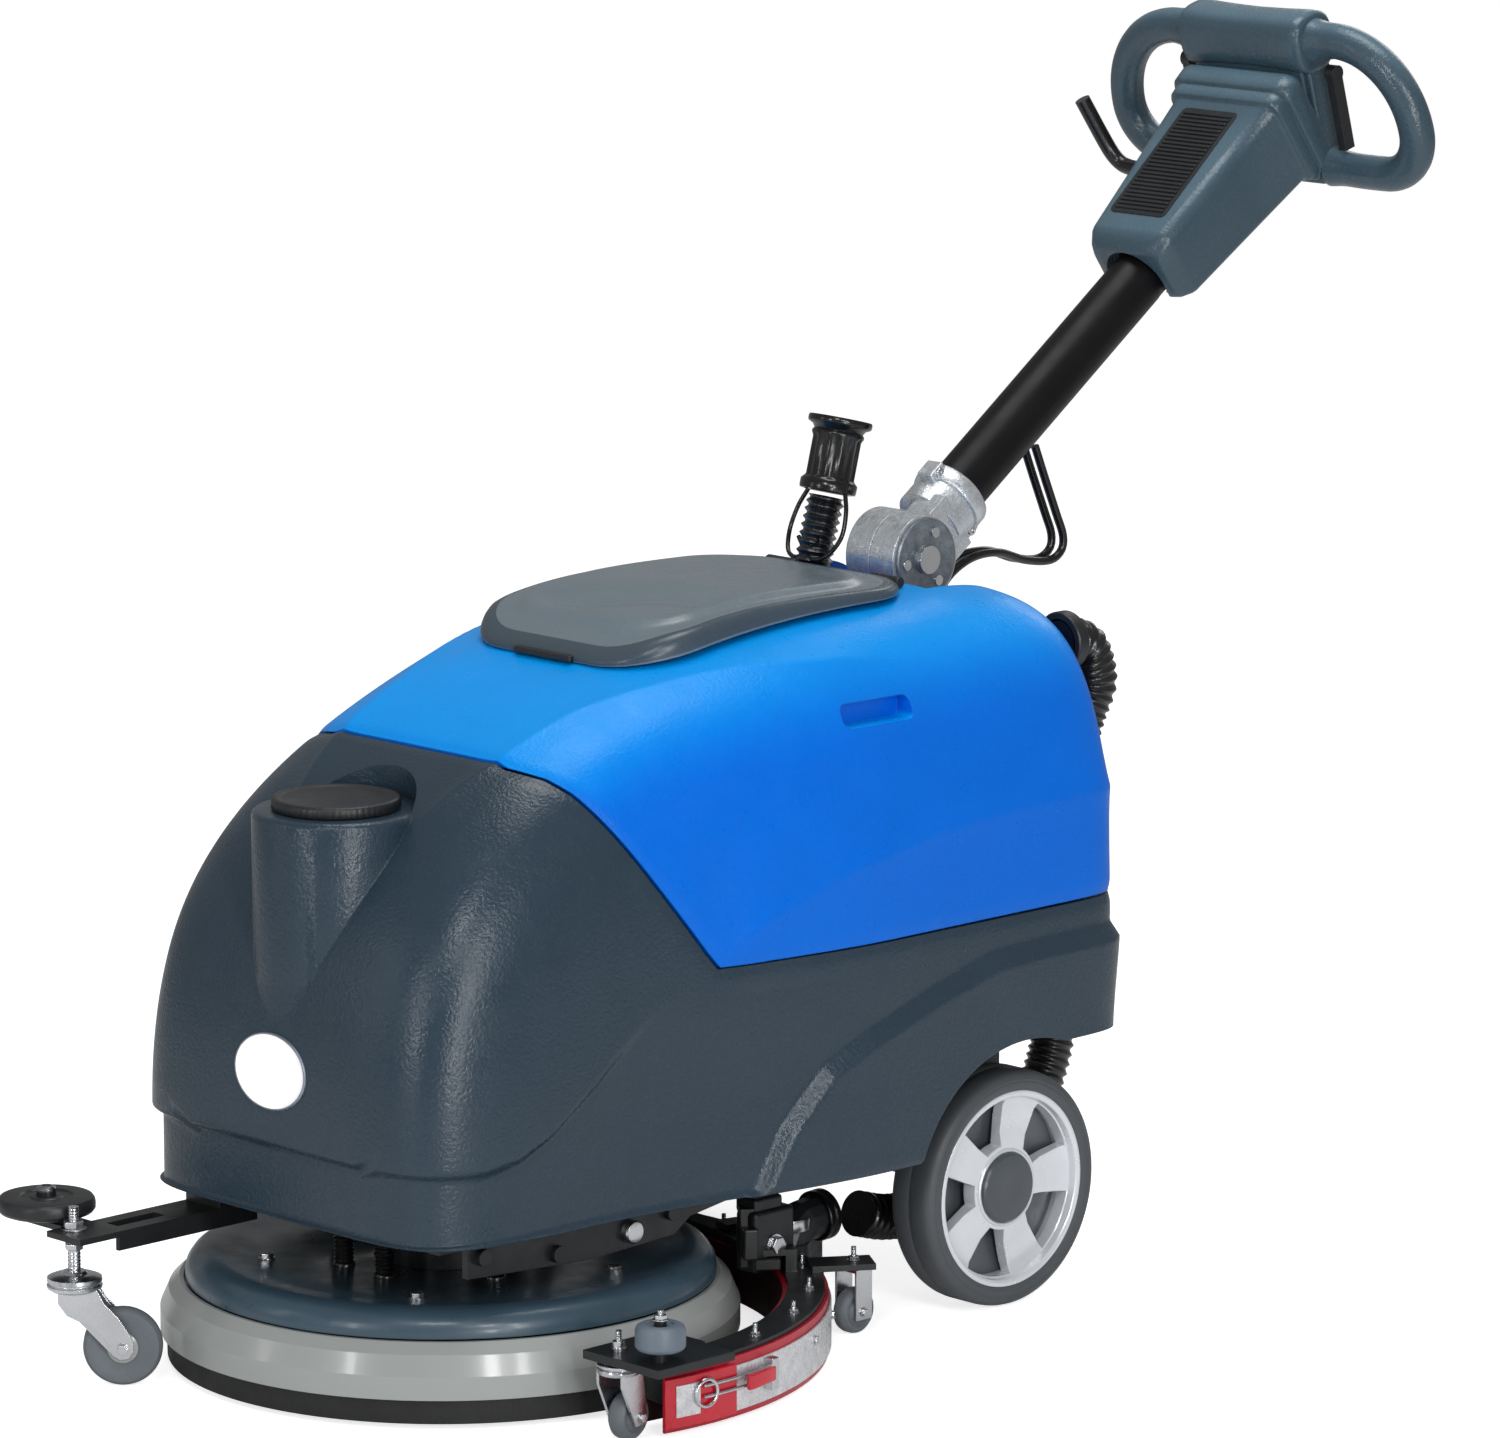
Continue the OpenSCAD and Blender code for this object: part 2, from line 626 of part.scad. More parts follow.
module front_fork() { caster_fork(front_stem, 48, front_wheel_r, front_trail, 90, 46); }
module front_caster() { caster_wheel(front_stem, 48, front_wheel_r, front_trail); }
module left_fork() { caster_fork(near_stem, near_trail_deg, end_wheel_r, end_trail, 66); }
module left_caster() { caster_wheel(near_stem, near_trail_deg, end_wheel_r, end_trail); }
module right_fork() { caster_fork(far_stem, far_trail_deg, end_wheel_r, end_trail, 66); }
module right_caster() { caster_wheel(far_stem, far_trail_deg, end_wheel_r, end_trail); }
rear_caster_deg = [squeegee_aim - 10, squeegee_aim + 10];
rear_caster_r = 19;
module at_rear_caster(i) {
    at_round(334, rear_caster_deg[i]) rotate([0, 0, squeegee_aim - 66 - rear_caster_deg[i]])
        children();
}
module rear_forks() {
    color("#c0c3c5") for (i = [0, 1]) at_rear_caster(i) {
        for (t = [-1, 1]) slab(t > 0 ? 10.5 : -12.5, t > 0 ? 12.5 : -10.5, -9, 9, 13, 55.8);
        slab(-12, 12, -9, 9, 53, 55.8);
        translate([-12.5, 0, rear_caster_r]) rotate([0, 90, 0]) cylinder(r = 3, h = 25);
    }
}
module rear_caster(i) {
    color("#777c82") at_rear_caster(i) translate([0, 0, rear_caster_r]) rotate([0, 90, 0])
        rotate_extrude() polygon([[3 + run, -9], [rear_caster_r, -9], [rear_caster_r, 9],
            [3 + run, 9]]);
}

// ---------------------------------------------------------------- front arm
front_roller_at = [-185, -700];
arm_z = 112;
arm_top_z = arm_z + 16;
arm_web_z = arm_top_z - 5;
module front_arm() {
    color("#1d1f21") difference() {
        union() {
            slab(arm_x - 21, arm_x + 21, -730, -545, arm_web_z, arm_top_z);
            for (s = [-1, 1]) slab(arm_x + (s > 0 ? 17 : -21), arm_x + (s > 0 ? 21 : -17),
                -690, -545, arm_z, arm_top_z);
            slab(arm_x - 21, arm_x + 21, -585, -545, arm_web_z, sill_z - plate_t - 0.2);
            slab(front_roller_at[0] - 14, arm_x, -712, -684, arm_web_z, arm_top_z);
            disc(front_roller_at[0], front_roller_at[1], arm_web_z, 149, 8);
        }
        disc(front_stem[0], front_stem[1], 60, 135, 5 + run);
        slab(arm_x - 7, arm_x + 7, -680, -630, 100, 135);
    }
}
module front_roller() {
    color("#1b1d1f") translate([front_roller_at[0], front_roller_at[1], 0]) rotate_extrude()
        polygon([[8 + run, 131], [36, 131], [39.5, 134], [39.5, 142], [36, 145.5], [8 + run, 145.5]]);
}
module side_roller(far) {
    at = end_place(roller_at, far);
    color("#5f6b78") translate([at[0], at[1], 0]) rotate_extrude()
        polygon([[5 + run, 82], [18, 82], [20, 84], [20, 100], [18, 103], [5 + run, 103]]);
}

// moves the part from the axle's middle to the middle of its plan outline
module placed() {
    translate([-outline_mid[0], -outline_mid[1], 0]) children();
}
placed() chassis_frame();
placed() rear_axle();
placed() lower_tank();
placed() recovery_tank();
placed() battery_pack();
placed() knuckle_base();
placed() badge();
placed() vacuum_motor();
placed() drain_hose();
placed() suction_hose();
placed() front_arm();
placed() frame_bolts();
placed() tyre(1);  // tyre_left
placed() rim(1);  // rim_left
placed() hub_cap(1);  // hub_cap_left
placed() tyre(-1);  // tyre_right
placed() rim(-1);  // rim_right
placed() hub_cap(-1);  // hub_cap_right
placed() knuckle_yoke();
placed() knuckle_screws();
placed() handle_tube();
placed() head_front();
placed() head_rear();
placed() vent_panel();
placed() handle_loops();
placed() cable_hook();
placed() control_cables();
placed() switch_lever(1);  // switch_lever_left
placed() switch_lever(-1);  // switch_lever_right
placed() key_switch();
placed() rocker_switch();
placed() tank_lid();
placed() lid_seal();
placed() filler_cap();
placed() drain_plug();
placed() deck_plate();
placed() splash_ring();
placed() deck_skirt();
placed() gearmotor();
placed() brush_block();
placed() brush_bristles();
placed() clutch_plate();
placed() squeegee_body();
placed() squeegee_carrier();
placed() front_blade();
placed() rear_blade();
placed() blade_strap();
placed() strap_latch();
placed() front_roller();
placed() side_roller(0);  // side_roller_left
placed() side_roller(1);  // side_roller_right
placed() front_fork();
placed() front_caster();
placed() left_fork();
placed() left_caster();
placed() right_fork();
placed() right_caster();
placed() rear_forks();
placed() rear_caster(0);  // rear_caster_left
placed() rear_caster(1);  // rear_caster_right
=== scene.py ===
import json
import math

import bmesh
import bpy
import numpy as np
from mathutils import Matrix, Vector
from mathutils.noise import noise


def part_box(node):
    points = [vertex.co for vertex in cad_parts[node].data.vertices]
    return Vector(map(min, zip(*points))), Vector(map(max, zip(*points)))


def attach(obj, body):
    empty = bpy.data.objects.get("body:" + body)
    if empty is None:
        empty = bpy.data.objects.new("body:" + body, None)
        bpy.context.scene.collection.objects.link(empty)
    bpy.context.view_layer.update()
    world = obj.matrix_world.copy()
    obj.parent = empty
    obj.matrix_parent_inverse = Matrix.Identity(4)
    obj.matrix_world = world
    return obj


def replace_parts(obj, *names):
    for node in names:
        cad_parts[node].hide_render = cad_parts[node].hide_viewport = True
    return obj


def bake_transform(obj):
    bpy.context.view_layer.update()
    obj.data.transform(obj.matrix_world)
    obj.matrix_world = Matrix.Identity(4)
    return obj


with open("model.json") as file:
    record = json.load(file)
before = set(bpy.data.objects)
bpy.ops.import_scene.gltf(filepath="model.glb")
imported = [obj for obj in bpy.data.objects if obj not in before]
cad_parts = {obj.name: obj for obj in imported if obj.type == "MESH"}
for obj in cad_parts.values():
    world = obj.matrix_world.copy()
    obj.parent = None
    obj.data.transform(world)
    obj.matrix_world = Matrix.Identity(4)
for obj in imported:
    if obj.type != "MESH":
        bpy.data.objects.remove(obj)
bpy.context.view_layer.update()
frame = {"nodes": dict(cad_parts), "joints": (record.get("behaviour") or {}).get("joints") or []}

MM = 0.001
# the point on the floor under the middle of the rear axle: every size below, in millimetres,
# is measured from it
AXLE = Vector(((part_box("tyre_left")[0][0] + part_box("tyre_right")[1][0]) / 2,
               (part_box("tyre_left")[0][1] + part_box("tyre_left")[1][1]) / 2, 0.0))


# ------------------------------------------------------------------ colours and materials
def srgb(r, g, b):
    """A colour given as 0-255 screen values, in linear light."""
    def lin(c):
        c = c / 255
        return c / 12.92 if c <= 0.04045 else ((c + 0.055) / 1.055) ** 2.4
    return (lin(r), lin(g), lin(b), 1.0)


def finish(name, colour, rough, metal=0.0, grain=0.0, grain_size=1.2, mottle=0.1,
           mottle_size=60.0, rough_vary=0.08, coat=0.0, edge=0.6, lumps=0.0, lump_size=9.0,
           scratch=0.0, spec=0.5, glow=0.0, top=None):
    """A principled material: fine grain and broad lumps as bump, mottled colour and
    roughness, edges rounded by `edge` millimetres in the shading, and, with `top`, a lighter
    colour where the surface looks up: painted light from above."""
    mat = bpy.data.materials.new(name)
    mat.use_nodes = True
    nt = mat.node_tree
    bsdf = nt.nodes["Principled BSDF"]
    coords = nt.nodes.new("ShaderNodeTexCoord")

    def noise_at(size_mm, detail, rough_n=0.55):
        n = nt.nodes.new("ShaderNodeTexNoise")
        n.inputs["Scale"].default_value = 1.0 / (size_mm * MM)
        n.inputs["Detail"].default_value = detail
        n.inputs["Roughness"].default_value = rough_n
        nt.links.new(coords.outputs["Object"], n.inputs["Vector"])
        return n.outputs["Fac"]

    def remap(fac, low, high):
        m = nt.nodes.new("ShaderNodeMapRange")
        m.inputs["From Min"].default_value = 0.3
        m.inputs["From Max"].default_value = 0.7
        m.inputs["To Min"].default_value = low
        m.inputs["To Max"].default_value = high
        nt.links.new(fac, m.inputs["Value"])
        return m.outputs["Result"]

    broad = noise_at(mottle_size, 4.0)
    fine = noise_at(grain_size, 2.0)
    shade = nt.nodes.new("ShaderNodeMix")
    shade.data_type = "RGBA"
    shade.blend_type = "MULTIPLY"
    shade.inputs["Factor"].default_value = 1.0
    shade.inputs["A"].default_value = colour
    # painted light: faces that look up blend into the lighter `top` colour, as if lit from above
    if top:
        facing = nt.nodes.new("ShaderNodeSeparateXYZ")
        nt.links.new(coords.outputs["Normal"], facing.inputs[0])
        blend = nt.nodes.new("ShaderNodeMapRange")
        blend.interpolation_type = "SMOOTHSTEP"
        blend.inputs["From Min"].default_value = 0.3
        blend.inputs["From Max"].default_value = 1.0
        nt.links.new(facing.outputs["Z"], blend.inputs["Value"])
        painted_top_light = nt.nodes.new("ShaderNodeMix")
        painted_top_light.data_type = "RGBA"
        painted_top_light.inputs["A"].default_value = colour
        painted_top_light.inputs["B"].default_value = top
        nt.links.new(blend.outputs["Result"], painted_top_light.inputs["Factor"])
        nt.links.new(painted_top_light.outputs["Result"], shade.inputs["A"])
    tint = nt.nodes.new("ShaderNodeMath")
    tint.operation = "MULTIPLY"
    nt.links.new(remap(broad, 1.0 - mottle, 1.0 + mottle), tint.inputs[0])
    nt.links.new(remap(fine, 1.0 - mottle * 0.6, 1.0 + mottle * 0.6), tint.inputs[1])
    nt.links.new(tint.outputs[0], shade.inputs["B"])
    nt.links.new(shade.outputs["Result"], bsdf.inputs["Base Color"])
    nt.links.new(remap(noise_at(mottle_size * 0.4, 5.0), max(0.03, rough - rough_vary),
                       min(1.0, rough + rough_vary)), bsdf.inputs["Roughness"])
    bsdf.inputs["Metallic"].default_value = metal
    bsdf.inputs["Specular IOR Level"].default_value = spec
    # a `glow` above zero makes the surface give off its own colour: painted light, though it is no lamp
    bsdf.inputs["Emission Color"].default_value = colour
    bsdf.inputs["Emission Strength"].default_value = glow
    if coat:
        bsdf.inputs["Coat Weight"].default_value = coat
        bsdf.inputs["Coat Roughness"].default_value = 0.12
    normal = None
    if edge:
        soft = nt.nodes.new("ShaderNodeBevel")
        soft.samples = 6
        soft.inputs["Radius"].default_value = edge * MM
        normal = soft.outputs["Normal"]
    layers = [(fine, grain * MM), (noise_at(lump_size, 3.0), lumps * MM)]
    if scratch:
        stretch = nt.nodes.new("ShaderNodeMapping")
        stretch.inputs["Scale"].default_value = (1.0, 14.0, 14.0)
        nt.links.new(coords.outputs["Object"], stretch.inputs["Vector"])
        lines = nt.nodes.new("ShaderNodeTexNoise")
        lines.inputs["Scale"].default_value = 90.0
        nt.links.new(stretch.outputs["Vector"], lines.inputs["Vector"])
        layers.append((lines.outputs["Fac"], scratch * MM))
    for height, depth in layers:
        if depth:
            bump = nt.nodes.new("ShaderNodeBump")
            bump.inputs["Strength"].default_value = 1.0
            bump.inputs["Distance"].default_value = depth
            nt.links.new(height, bump.inputs["Height"])
            if normal:
                nt.links.new(normal, bump.inputs["Normal"])
            normal = bump.outputs["Normal"]
    if normal:
        nt.links.new(normal, bsdf.inputs["Normal"])
    return mat


SLATE = finish("slate", srgb(40, 57, 70), 0.27, grain=0.55, grain_size=3.0, mottle=0.04,
               edge=2.0, lumps=0.25, lump_size=30.0, spec=0.42)
# the head's `top` colour is painted light: its upper faces are made lighter, as if lit from above
SLATE_HEAD = finish("slate_head", srgb(58, 78, 90), 0.27, top=srgb(88, 114, 128), grain=0.45, grain_size=2.8,
                    mottle=0.04, edge=1.4, coat=0.1, spec=0.45)
# the tank's `top` colour is painted light: upward faces are made lighter and more cyan, as if lit from above
AZURE = finish("azure", srgb(0, 104, 214), 0.33, top=srgb(2, 152, 240), grain=0.4, grain_size=3.0, mottle=0.03,
               edge=2.0, lumps=0.2, lump_size=45.0, spec=0.18)
LID_GREY = finish("lid_grey", srgb(106, 119, 127), 0.26, grain=0.06, grain_size=1.6,
                  mottle=0.03, edge=1.5)
# a darker copy of the lid grey for the lid's rim: painted shade on its sides
LID_SIDE_SHADE = finish("lid_side_painted_shade", srgb(62, 76, 86), 0.3, grain=0.06, grain_size=1.6, mottle=0.03,
                  edge=1.5)
BLACK = finish("black_moulded", srgb(30, 32, 34), 0.42, grain=0.06, grain_size=1.4,
               mottle=0.2, edge=0.6)
BLACK_GLOSS = finish("black_gloss", srgb(15, 15, 16), 0.24, mottle=0.2, coat=0.15,
                     rough_vary=0.05, edge=0.5)
TUBE_BLACK = finish("tube_black", srgb(15, 15, 17), 0.42, mottle=0.15, rough_vary=0.05,
                    edge=0.5, spec=0.2)
HOSE = finish("hose_black", srgb(20, 21, 23), 0.3, mottle=0.25, coat=0.3, edge=0.0)
HUB_GREY = finish("hub_grey", srgb(72, 78, 84), 0.32, mottle=0.05, coat=0.2, edge=0.8)
RUBBER = finish("rubber_black", srgb(22, 23, 24), 0.62, grain=0.1, grain_size=1.0,
                mottle=0.2, edge=0.4)
TYRE = finish("tyre_rubber", srgb(74, 78, 82), 0.5, grain=0.08, grain_size=1.0, mottle=0.08,
              edge=1.0)
STEEL_BLACK = finish("steel_black", srgb(27, 29, 31), 0.38, grain=0.05, grain_size=0.9,
                     mottle=0.22, edge=0.7)
SILVER = finish("silver_lacquer", srgb(226, 229, 233), 0.22, metal=0.35, mottle=0.05,
                grain=0.03, edge=1.2)
SILVER_DARK = finish("silver_shade", srgb(104, 108, 112), 0.36, metal=0.5, mottle=0.08,
                     grain=0.03, edge=1.0)
CAST = finish("cast_aluminium", srgb(205, 210, 214), 0.34, metal=0.7, grain=0.3,
              grain_size=1.6, mottle=0.12, mottle_size=14.0, rough_vary=0.14, edge=1.4,
              lumps=0.7, lump_size=8.0)
CAST_DARK = finish("cast_dark", srgb(128, 136, 142), 0.4, metal=0.75, grain=0.25,
                   grain_size=1.4, mottle=0.25, mottle_size=10.0, rough_vary=0.14, edge=1.0)
ZINC = finish("zinc", srgb(205, 207, 210), 0.24, metal=1.0, mottle=0.08, rough_vary=0.1,
              edge=0.5, scratch=0.05)
STEEL = finish("steel_turned", srgb(150, 153, 156), 0.28, metal=1.0, mottle=0.1, edge=0.5,
               scratch=0.08)
RING_GREY = finish("ring_grey", srgb(154, 158, 156), 0.24, mottle=0.012, mottle_size=150.0,
                   grain=0.02, coat=0.4, edge=1.0, rough_vary=0.03)
DECK_BLUE = finish("deck_paint", srgb(54, 76, 90), 0.34, mottle=0.08, mottle_size=60.0,
                   coat=0.15, lumps=0.6, lump_size=45.0, edge=1.0)
BRISTLE = finish("bristle", srgb(150, 146, 136), 0.6, mottle=0.3, mottle_size=4.0, edge=0.0)
RED_BLADE = finish("red_blade", srgb(176, 18, 42), 0.35, mottle=0.1, edge=0.4, coat=0.2)
# a dark copy of the blade red for the front blade: painted shade on it
BLADE_INNER_SHADE = finish("blade_inner_painted_shade", srgb(58, 20, 26), 0.5, mottle=0.2, edge=0.4)
STRAP = finish("strap_plate", srgb(216, 217, 220), 0.3, metal=0.5, mottle=0.14, mottle_size=9.0,
               grain=0.1, rough_vary=0.12, edge=0.4)
RED = finish("red_moulded", srgb(196, 14, 40), 0.3, mottle=0.08, coat=0.4, edge=0.8)
# the badge glows a little: painted light that makes the white badge read brighter
WHITE = finish("badge_white", srgb(252, 252, 253), 0.22, mottle=0.01, coat=0.5, edge=0.5,
               glow=0.25)
BLUE_TRIM = finish("badge_rim", srgb(150, 158, 170), 0.3, metal=0.6, mottle=0.05)
ROLLER = finish("roller_blue_grey", srgb(98, 110, 122), 0.45, mottle=0.1, edge=0.8,
                grain=0.05)
CASTER = finish("caster_tread", srgb(98, 104, 110), 0.5, mottle=0.12, edge=0.6, grain=0.05)


# ------------------------------------------------------------------ mesh tools (millimetres)
def piece(name, verts, faces, mat, body=None, sharp=40.0):
    """A mesh object from millimetre points, smooth except over edges sharper than `sharp`."""
    mesh = bpy.data.meshes.new(name)
    mesh.from_pydata([Vector(v) * MM + AXLE for v in verts], [], faces)
    obj = bpy.data.objects.new(name, mesh)
    bpy.context.collection.objects.link(obj)
    tidy_mesh(obj, sharp)
    mesh.materials.append(mat)
    if body:
        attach(obj, body)
    return obj


def tidy_mesh(obj, sharp=40.0):
    """Welds, turns every face outwards and marks the sharp edges."""
    bm = bmesh.new()
    bm.from_mesh(obj.data)
    bmesh.ops.remove_doubles(bm, verts=bm.verts, dist=0.00001)
    bmesh.ops.recalc_face_normals(bm, faces=bm.faces)
    for f in bm.faces:
        f.smooth = True
    for e in bm.edges:
        e.smooth = len(e.link_faces) == 2 and e.calc_face_angle(0.0) < math.radians(sharp)
    bm.to_mesh(obj.data)
    bm.free()


def bevelled(obj, width, segments=2, angle=32.0):
    mod = obj.modifiers.new("round", "BEVEL")
    mod.width = width * MM
    mod.segments = segments
    mod.limit_method = "ANGLE"
    mod.angle_limit = math.radians(angle)
    mod.harden_normals = True
    return obj


def axis_frame(origin, direction, twist=(0, 0, 1)):
    """A matrix whose local z is `direction`, in millimetres."""
    z = Vector(direction).normalized()
    ref = Vector(twist)
    if abs(ref.normalized().dot(z)) > 0.98:
        ref = Vector((1, 0, 0))
    x = ref.cross(z).normalized()
    y = z.cross(x)
    return Matrix.Translation(Vector(origin)) @ Matrix((x, y, z)).transposed().to_4x4()


def lathe(name, profile, mat, origin, direction=(0, 0, 1), body=None, steps=64, sharp=30.0,
          wave=None):
    """Turns (radius, height) points about an axis; both ends close if they reach it."""
    place = axis_frame(origin, direction)
    verts, faces, rings = [], [], []
    for r, h in profile:
        if r < 1e-6:
            rings.append([len(verts)])
            verts.append(place @ Vector((0, 0, h)))
            continue
        rings.append(list(range(len(verts), len(verts) + steps)))
        for k in range(steps):
            a = 2 * math.pi * k / steps
            rr = r + (wave(a, r, h) if wave else 0.0)
            verts.append(place @ Vector((rr * math.cos(a), rr * math.sin(a), h)))
    for low, high in zip(rings, rings[1:]):
        join_rings(faces, low, high)
    return piece(name, verts, faces, mat, body, sharp)


def join_rings(faces, low, high):
    n = max(len(low), len(high))
    if len(low) == 1 and len(high) == 1:
        return
    for k in range(n):
        a, b = low[k % len(low)], low[(k + 1) % len(low)]
        c, d = high[(k + 1) % len(high)], high[k % len(high)]
        if len(low) == 1:
            faces.append((a, c, d))
        elif len(high) == 1:
            faces.append((a, b, c))
        else:
            faces.append((a, b, c, d))


def smooth_path(points, per=8):
    """A Catmull-Rom curve through the points."""
    p = [Vector(v) for v in points]
    p = [2 * p[0] - p[1]] + p + [2 * p[-1] - p[-2]]
    out = []
    for i in range(1, len(p) - 2):
        for k in range(per):
            t = k / per
            out.append(0.5 * ((2 * p[i]) + (p[i + 1] - p[i - 1]) * t
                              + (2 * p[i - 1] - 5 * p[i] + 4 * p[i + 1] - p[i + 2]) * t * t
                              + (3 * p[i] - p[i - 1] - 3 * p[i + 1] + p[i + 2]) * t ** 3))
    out.append(p[-2])
    return out


def even_path(points, step):
    """The same line with evenly spaced points about `step` apart."""
    lengths = [0.0]
    for a, b in zip(points, points[1:]):
        lengths.append(lengths[-1] + (b - a).length)
    count = max(2, round(lengths[-1] / step))
    out, j = [], 0
    for i in range(count + 1):
        want = lengths[-1] * i / count
        while j < len(points) - 2 and lengths[j + 1] < want:
            j += 1
        span = max(lengths[j + 1] - lengths[j], 1e-9)
        out.append(points[j].lerp(points[j + 1], (want - lengths[j]) / span))
    return out


def sweep(name, path, section, mat, body=None, sharp=40.0, closed=False, up=(1, 0, 0)):
    """Carries a section along a path. section(i, n) gives (u, v) points across it."""
    n = len(path)
    tangents = []
    for i in range(n):
        a = path[(i - 1) % n] if closed else path[max(i - 1, 0)]
        b = path[(i + 1) % n] if closed else path[min(i + 1, n - 1)]
        tangents.append((b - a).normalized())
    ref = Vector(up)
    if abs(ref.dot(tangents[0])) > 0.95:
        ref = Vector((0, 1, 0))
    u = (ref - tangents[0] * ref.dot(tangents[0])).normalized()
    verts, faces, rings = [], [], []
    for i, t in enumerate(tangents):
        u = (u - t * u.dot(t)).normalized()
        v = t.cross(u)
        pts = section(i, n)
        rings.append(list(range(len(verts), len(verts) + len(pts))))
        verts += [path[i] + u * a + v * b for a, b in pts]
    for low, high in zip(rings, rings[1:]):
        join_rings(faces, low, high)
    if closed:
        join_rings(faces, rings[-1], rings[0])
    else:
        faces += [tuple(reversed(rings[0])), tuple(rings[-1])]
    return piece(name, verts, faces, mat, body, sharp)


def circle(radius, sides=24, squash=1.0):
    return [(radius * math.cos(2 * math.pi * k / sides),
             squash * radius * math.sin(2 * math.pi * k / sides)) for k in range(sides)]


def tube(name, points, radius, mat, body=None, sides=20, step=4.0, up=(1, 0, 0)):
    path = even_path(smooth_path(points), step)
    return sweep(name, path, lambda i, n: circle(radius, sides), mat, body, 60.0, up=up)


def ribbed_hose(name, points, radius, mat, body=None, pitch=6.0, depth=2.2, sides=28):
    """A corrugated hose: rounded ribs every `pitch` along the path."""
    path = even_path(smooth_path(points), pitch / 6)

    def section(i, n):
        swell = math.cos(2 * math.pi * i / 6)
        return circle(radius - depth * (0.5 - 0.5 * swell) ** 0.8, sides)
    return sweep(name, path, section, mat, body, 70.0)


def box_verts(lo, hi):
    verts = [(x, y, z) for x in (lo[0], hi[0]) for y in (lo[1], hi[1]) for z in (lo[2], hi[2])]
    faces = [(0, 1, 3, 2), (4, 6, 7, 5), (0, 4, 5, 1), (2, 3, 7, 6), (0, 2, 6, 4), (1, 5, 7, 3)]
    return verts, faces


def block(name, lo, hi, mat, body=None, round_mm=1.0, place=None, segments=2):
    """A block with rounded edges, optionally placed by a millimetre matrix."""
    verts, faces = box_verts(lo, hi)
    if place is not None:
        verts = [place @ Vector(v) for v in verts]
    obj = piece(name, verts, faces, mat, body, 30.0)
    return bevelled(obj, round_mm, segments)


def plate(name, outline, depth, mat, body=None, place=None, round_mm=0.8):
    """A flat plate: a 2-D outline in the placed frame's x and y, `depth` thick along z."""
    place = place or Matrix.Identity(4)
    n = len(outline)
    verts = [place @ Vector((x, y, z)) for z in (0, depth) for x, y in outline]
    faces = [tuple(reversed(range(n))), tuple(range(n, 2 * n))]
    faces += [(k, (k + 1) % n, n + (k + 1) % n, n + k) for k in range(n)]
    obj = piece(name, verts, faces, mat, body, 30.0)
    return bevelled(obj, round_mm)


def hex_profile(across, sides=6):
    r = across / 2 / math.cos(math.pi / sides)
    return [(r * math.cos(2 * math.pi * k / sides), r * math.sin(2 * math.pi * k / sides))
            for k in range(sides)]


def bolt(name, origin, direction, size, body, mat=None, washer=True, stud=0.0):
    """A hex bolt head on a washer, with an optional threaded stud showing past it."""
    mat = mat or ZINC
    place = axis_frame(origin, direction)
    base = 0.0
    if washer:
        lathe(name + "_washer", [(size * 0.5, 0), (size * 1.15, 0), (size * 1.15, size * 0.16),
                                 (size * 0.5, size * 0.16)], mat, origin, direction, body, 32)
        base = size * 0.16
    head = plate(name + "_head", hex_profile(size * 1.7), size * 0.65, mat, body,
                 place @ Matrix.Translation((0, 0, base)), size * 0.1)
    if stud:
        top = base + size * 0.6
        turns = [(0, top)] + [(size * (0.42 if k % 2 else 0.48), top + k * stud / 10)
                              for k in range(11)] + [(0, top + stud)]
        lathe(name + "_stud", turns, mat, origin, direction, body, 20)
    return head


def socket_screw(name, origin, direction, size, body, mat=None):
    """A round-headed screw with a hex recess."""
    mat = mat or ZINC
    r, h = size, size * 0.55
    lathe(name, [(0, 0), (r, 0), (r, h * 0.55), (r * 0.86, h * 0.86), (r * 0.6, h),
                 (r * 0.46, h), (r * 0.44, h * 0.35), (0, h * 0.3)],
          mat, origin, direction, body, 24)


# ------------------------------------------------------------------ places from the frame
def lo(node, axis):
    return (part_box(node)[0][axis] - AXLE[axis]) / MM


def hi(node, axis):
    return (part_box(node)[1][axis] - AXLE[axis]) / MM


JOINTS = {j["name"]: j for j in frame["joints"]}


def joint_at(name):
    return (Vector(JOINTS[name]["pos_m"]) - AXLE) / MM


sill_z = lo("lower_tank", 2)
nose_y = lo("lower_tank", 1) - 0.4
rear_y = hi("recovery_tank", 1) + 0.4
body_half = hi("lower_tank", 0)
nose_half = body_half - 35
top_z = hi("recovery_tank", 2)
deck_y = (lo("splash_ring", 1) + hi("splash_ring", 1)) / 2
ring_r = hi("splash_ring", 0)
cap_y = (lo("filler_cap", 1) + hi("filler_cap", 1)) / 2
cap_r = hi("filler_cap", 0)
ledge_z = hi("filler_cap", 2) - 10
axle_z = (lo("tyre_left", 2) + hi("tyre_left", 2)) / 2
tyre_r = hi("tyre_left", 2) - axle_z
KNUCKLE = joint_at("handle_tilt")
tilt = math.radians(35.7)
HANDLE = Matrix.Translation(KNUCKLE) @ Matrix.Rotation(tilt, 4, "X")


# ------------------------------------------------------------------ the two tanks
SHOULDER_Y = -50.0
BOW_Y = -250.0
STERN_Y = -100.0
BONNET_Z = 250.0
TAIL_Z = top_z - 43
SEAM_Z = 337.0
SEAM = [(-326, 0), (-336, 12), (-350, 31), (-381, 73), (-404, 105), (-423, 131), (-436, 149),
        (-447, 160), (-460, 166), (-466, 400)]
RING_POWER = 4.5
COLUMN_R = 67.5


def smooth01(v):
    v = np.clip(v, 0.0, 1.0)
    return v * v * (3 - 2 * v)


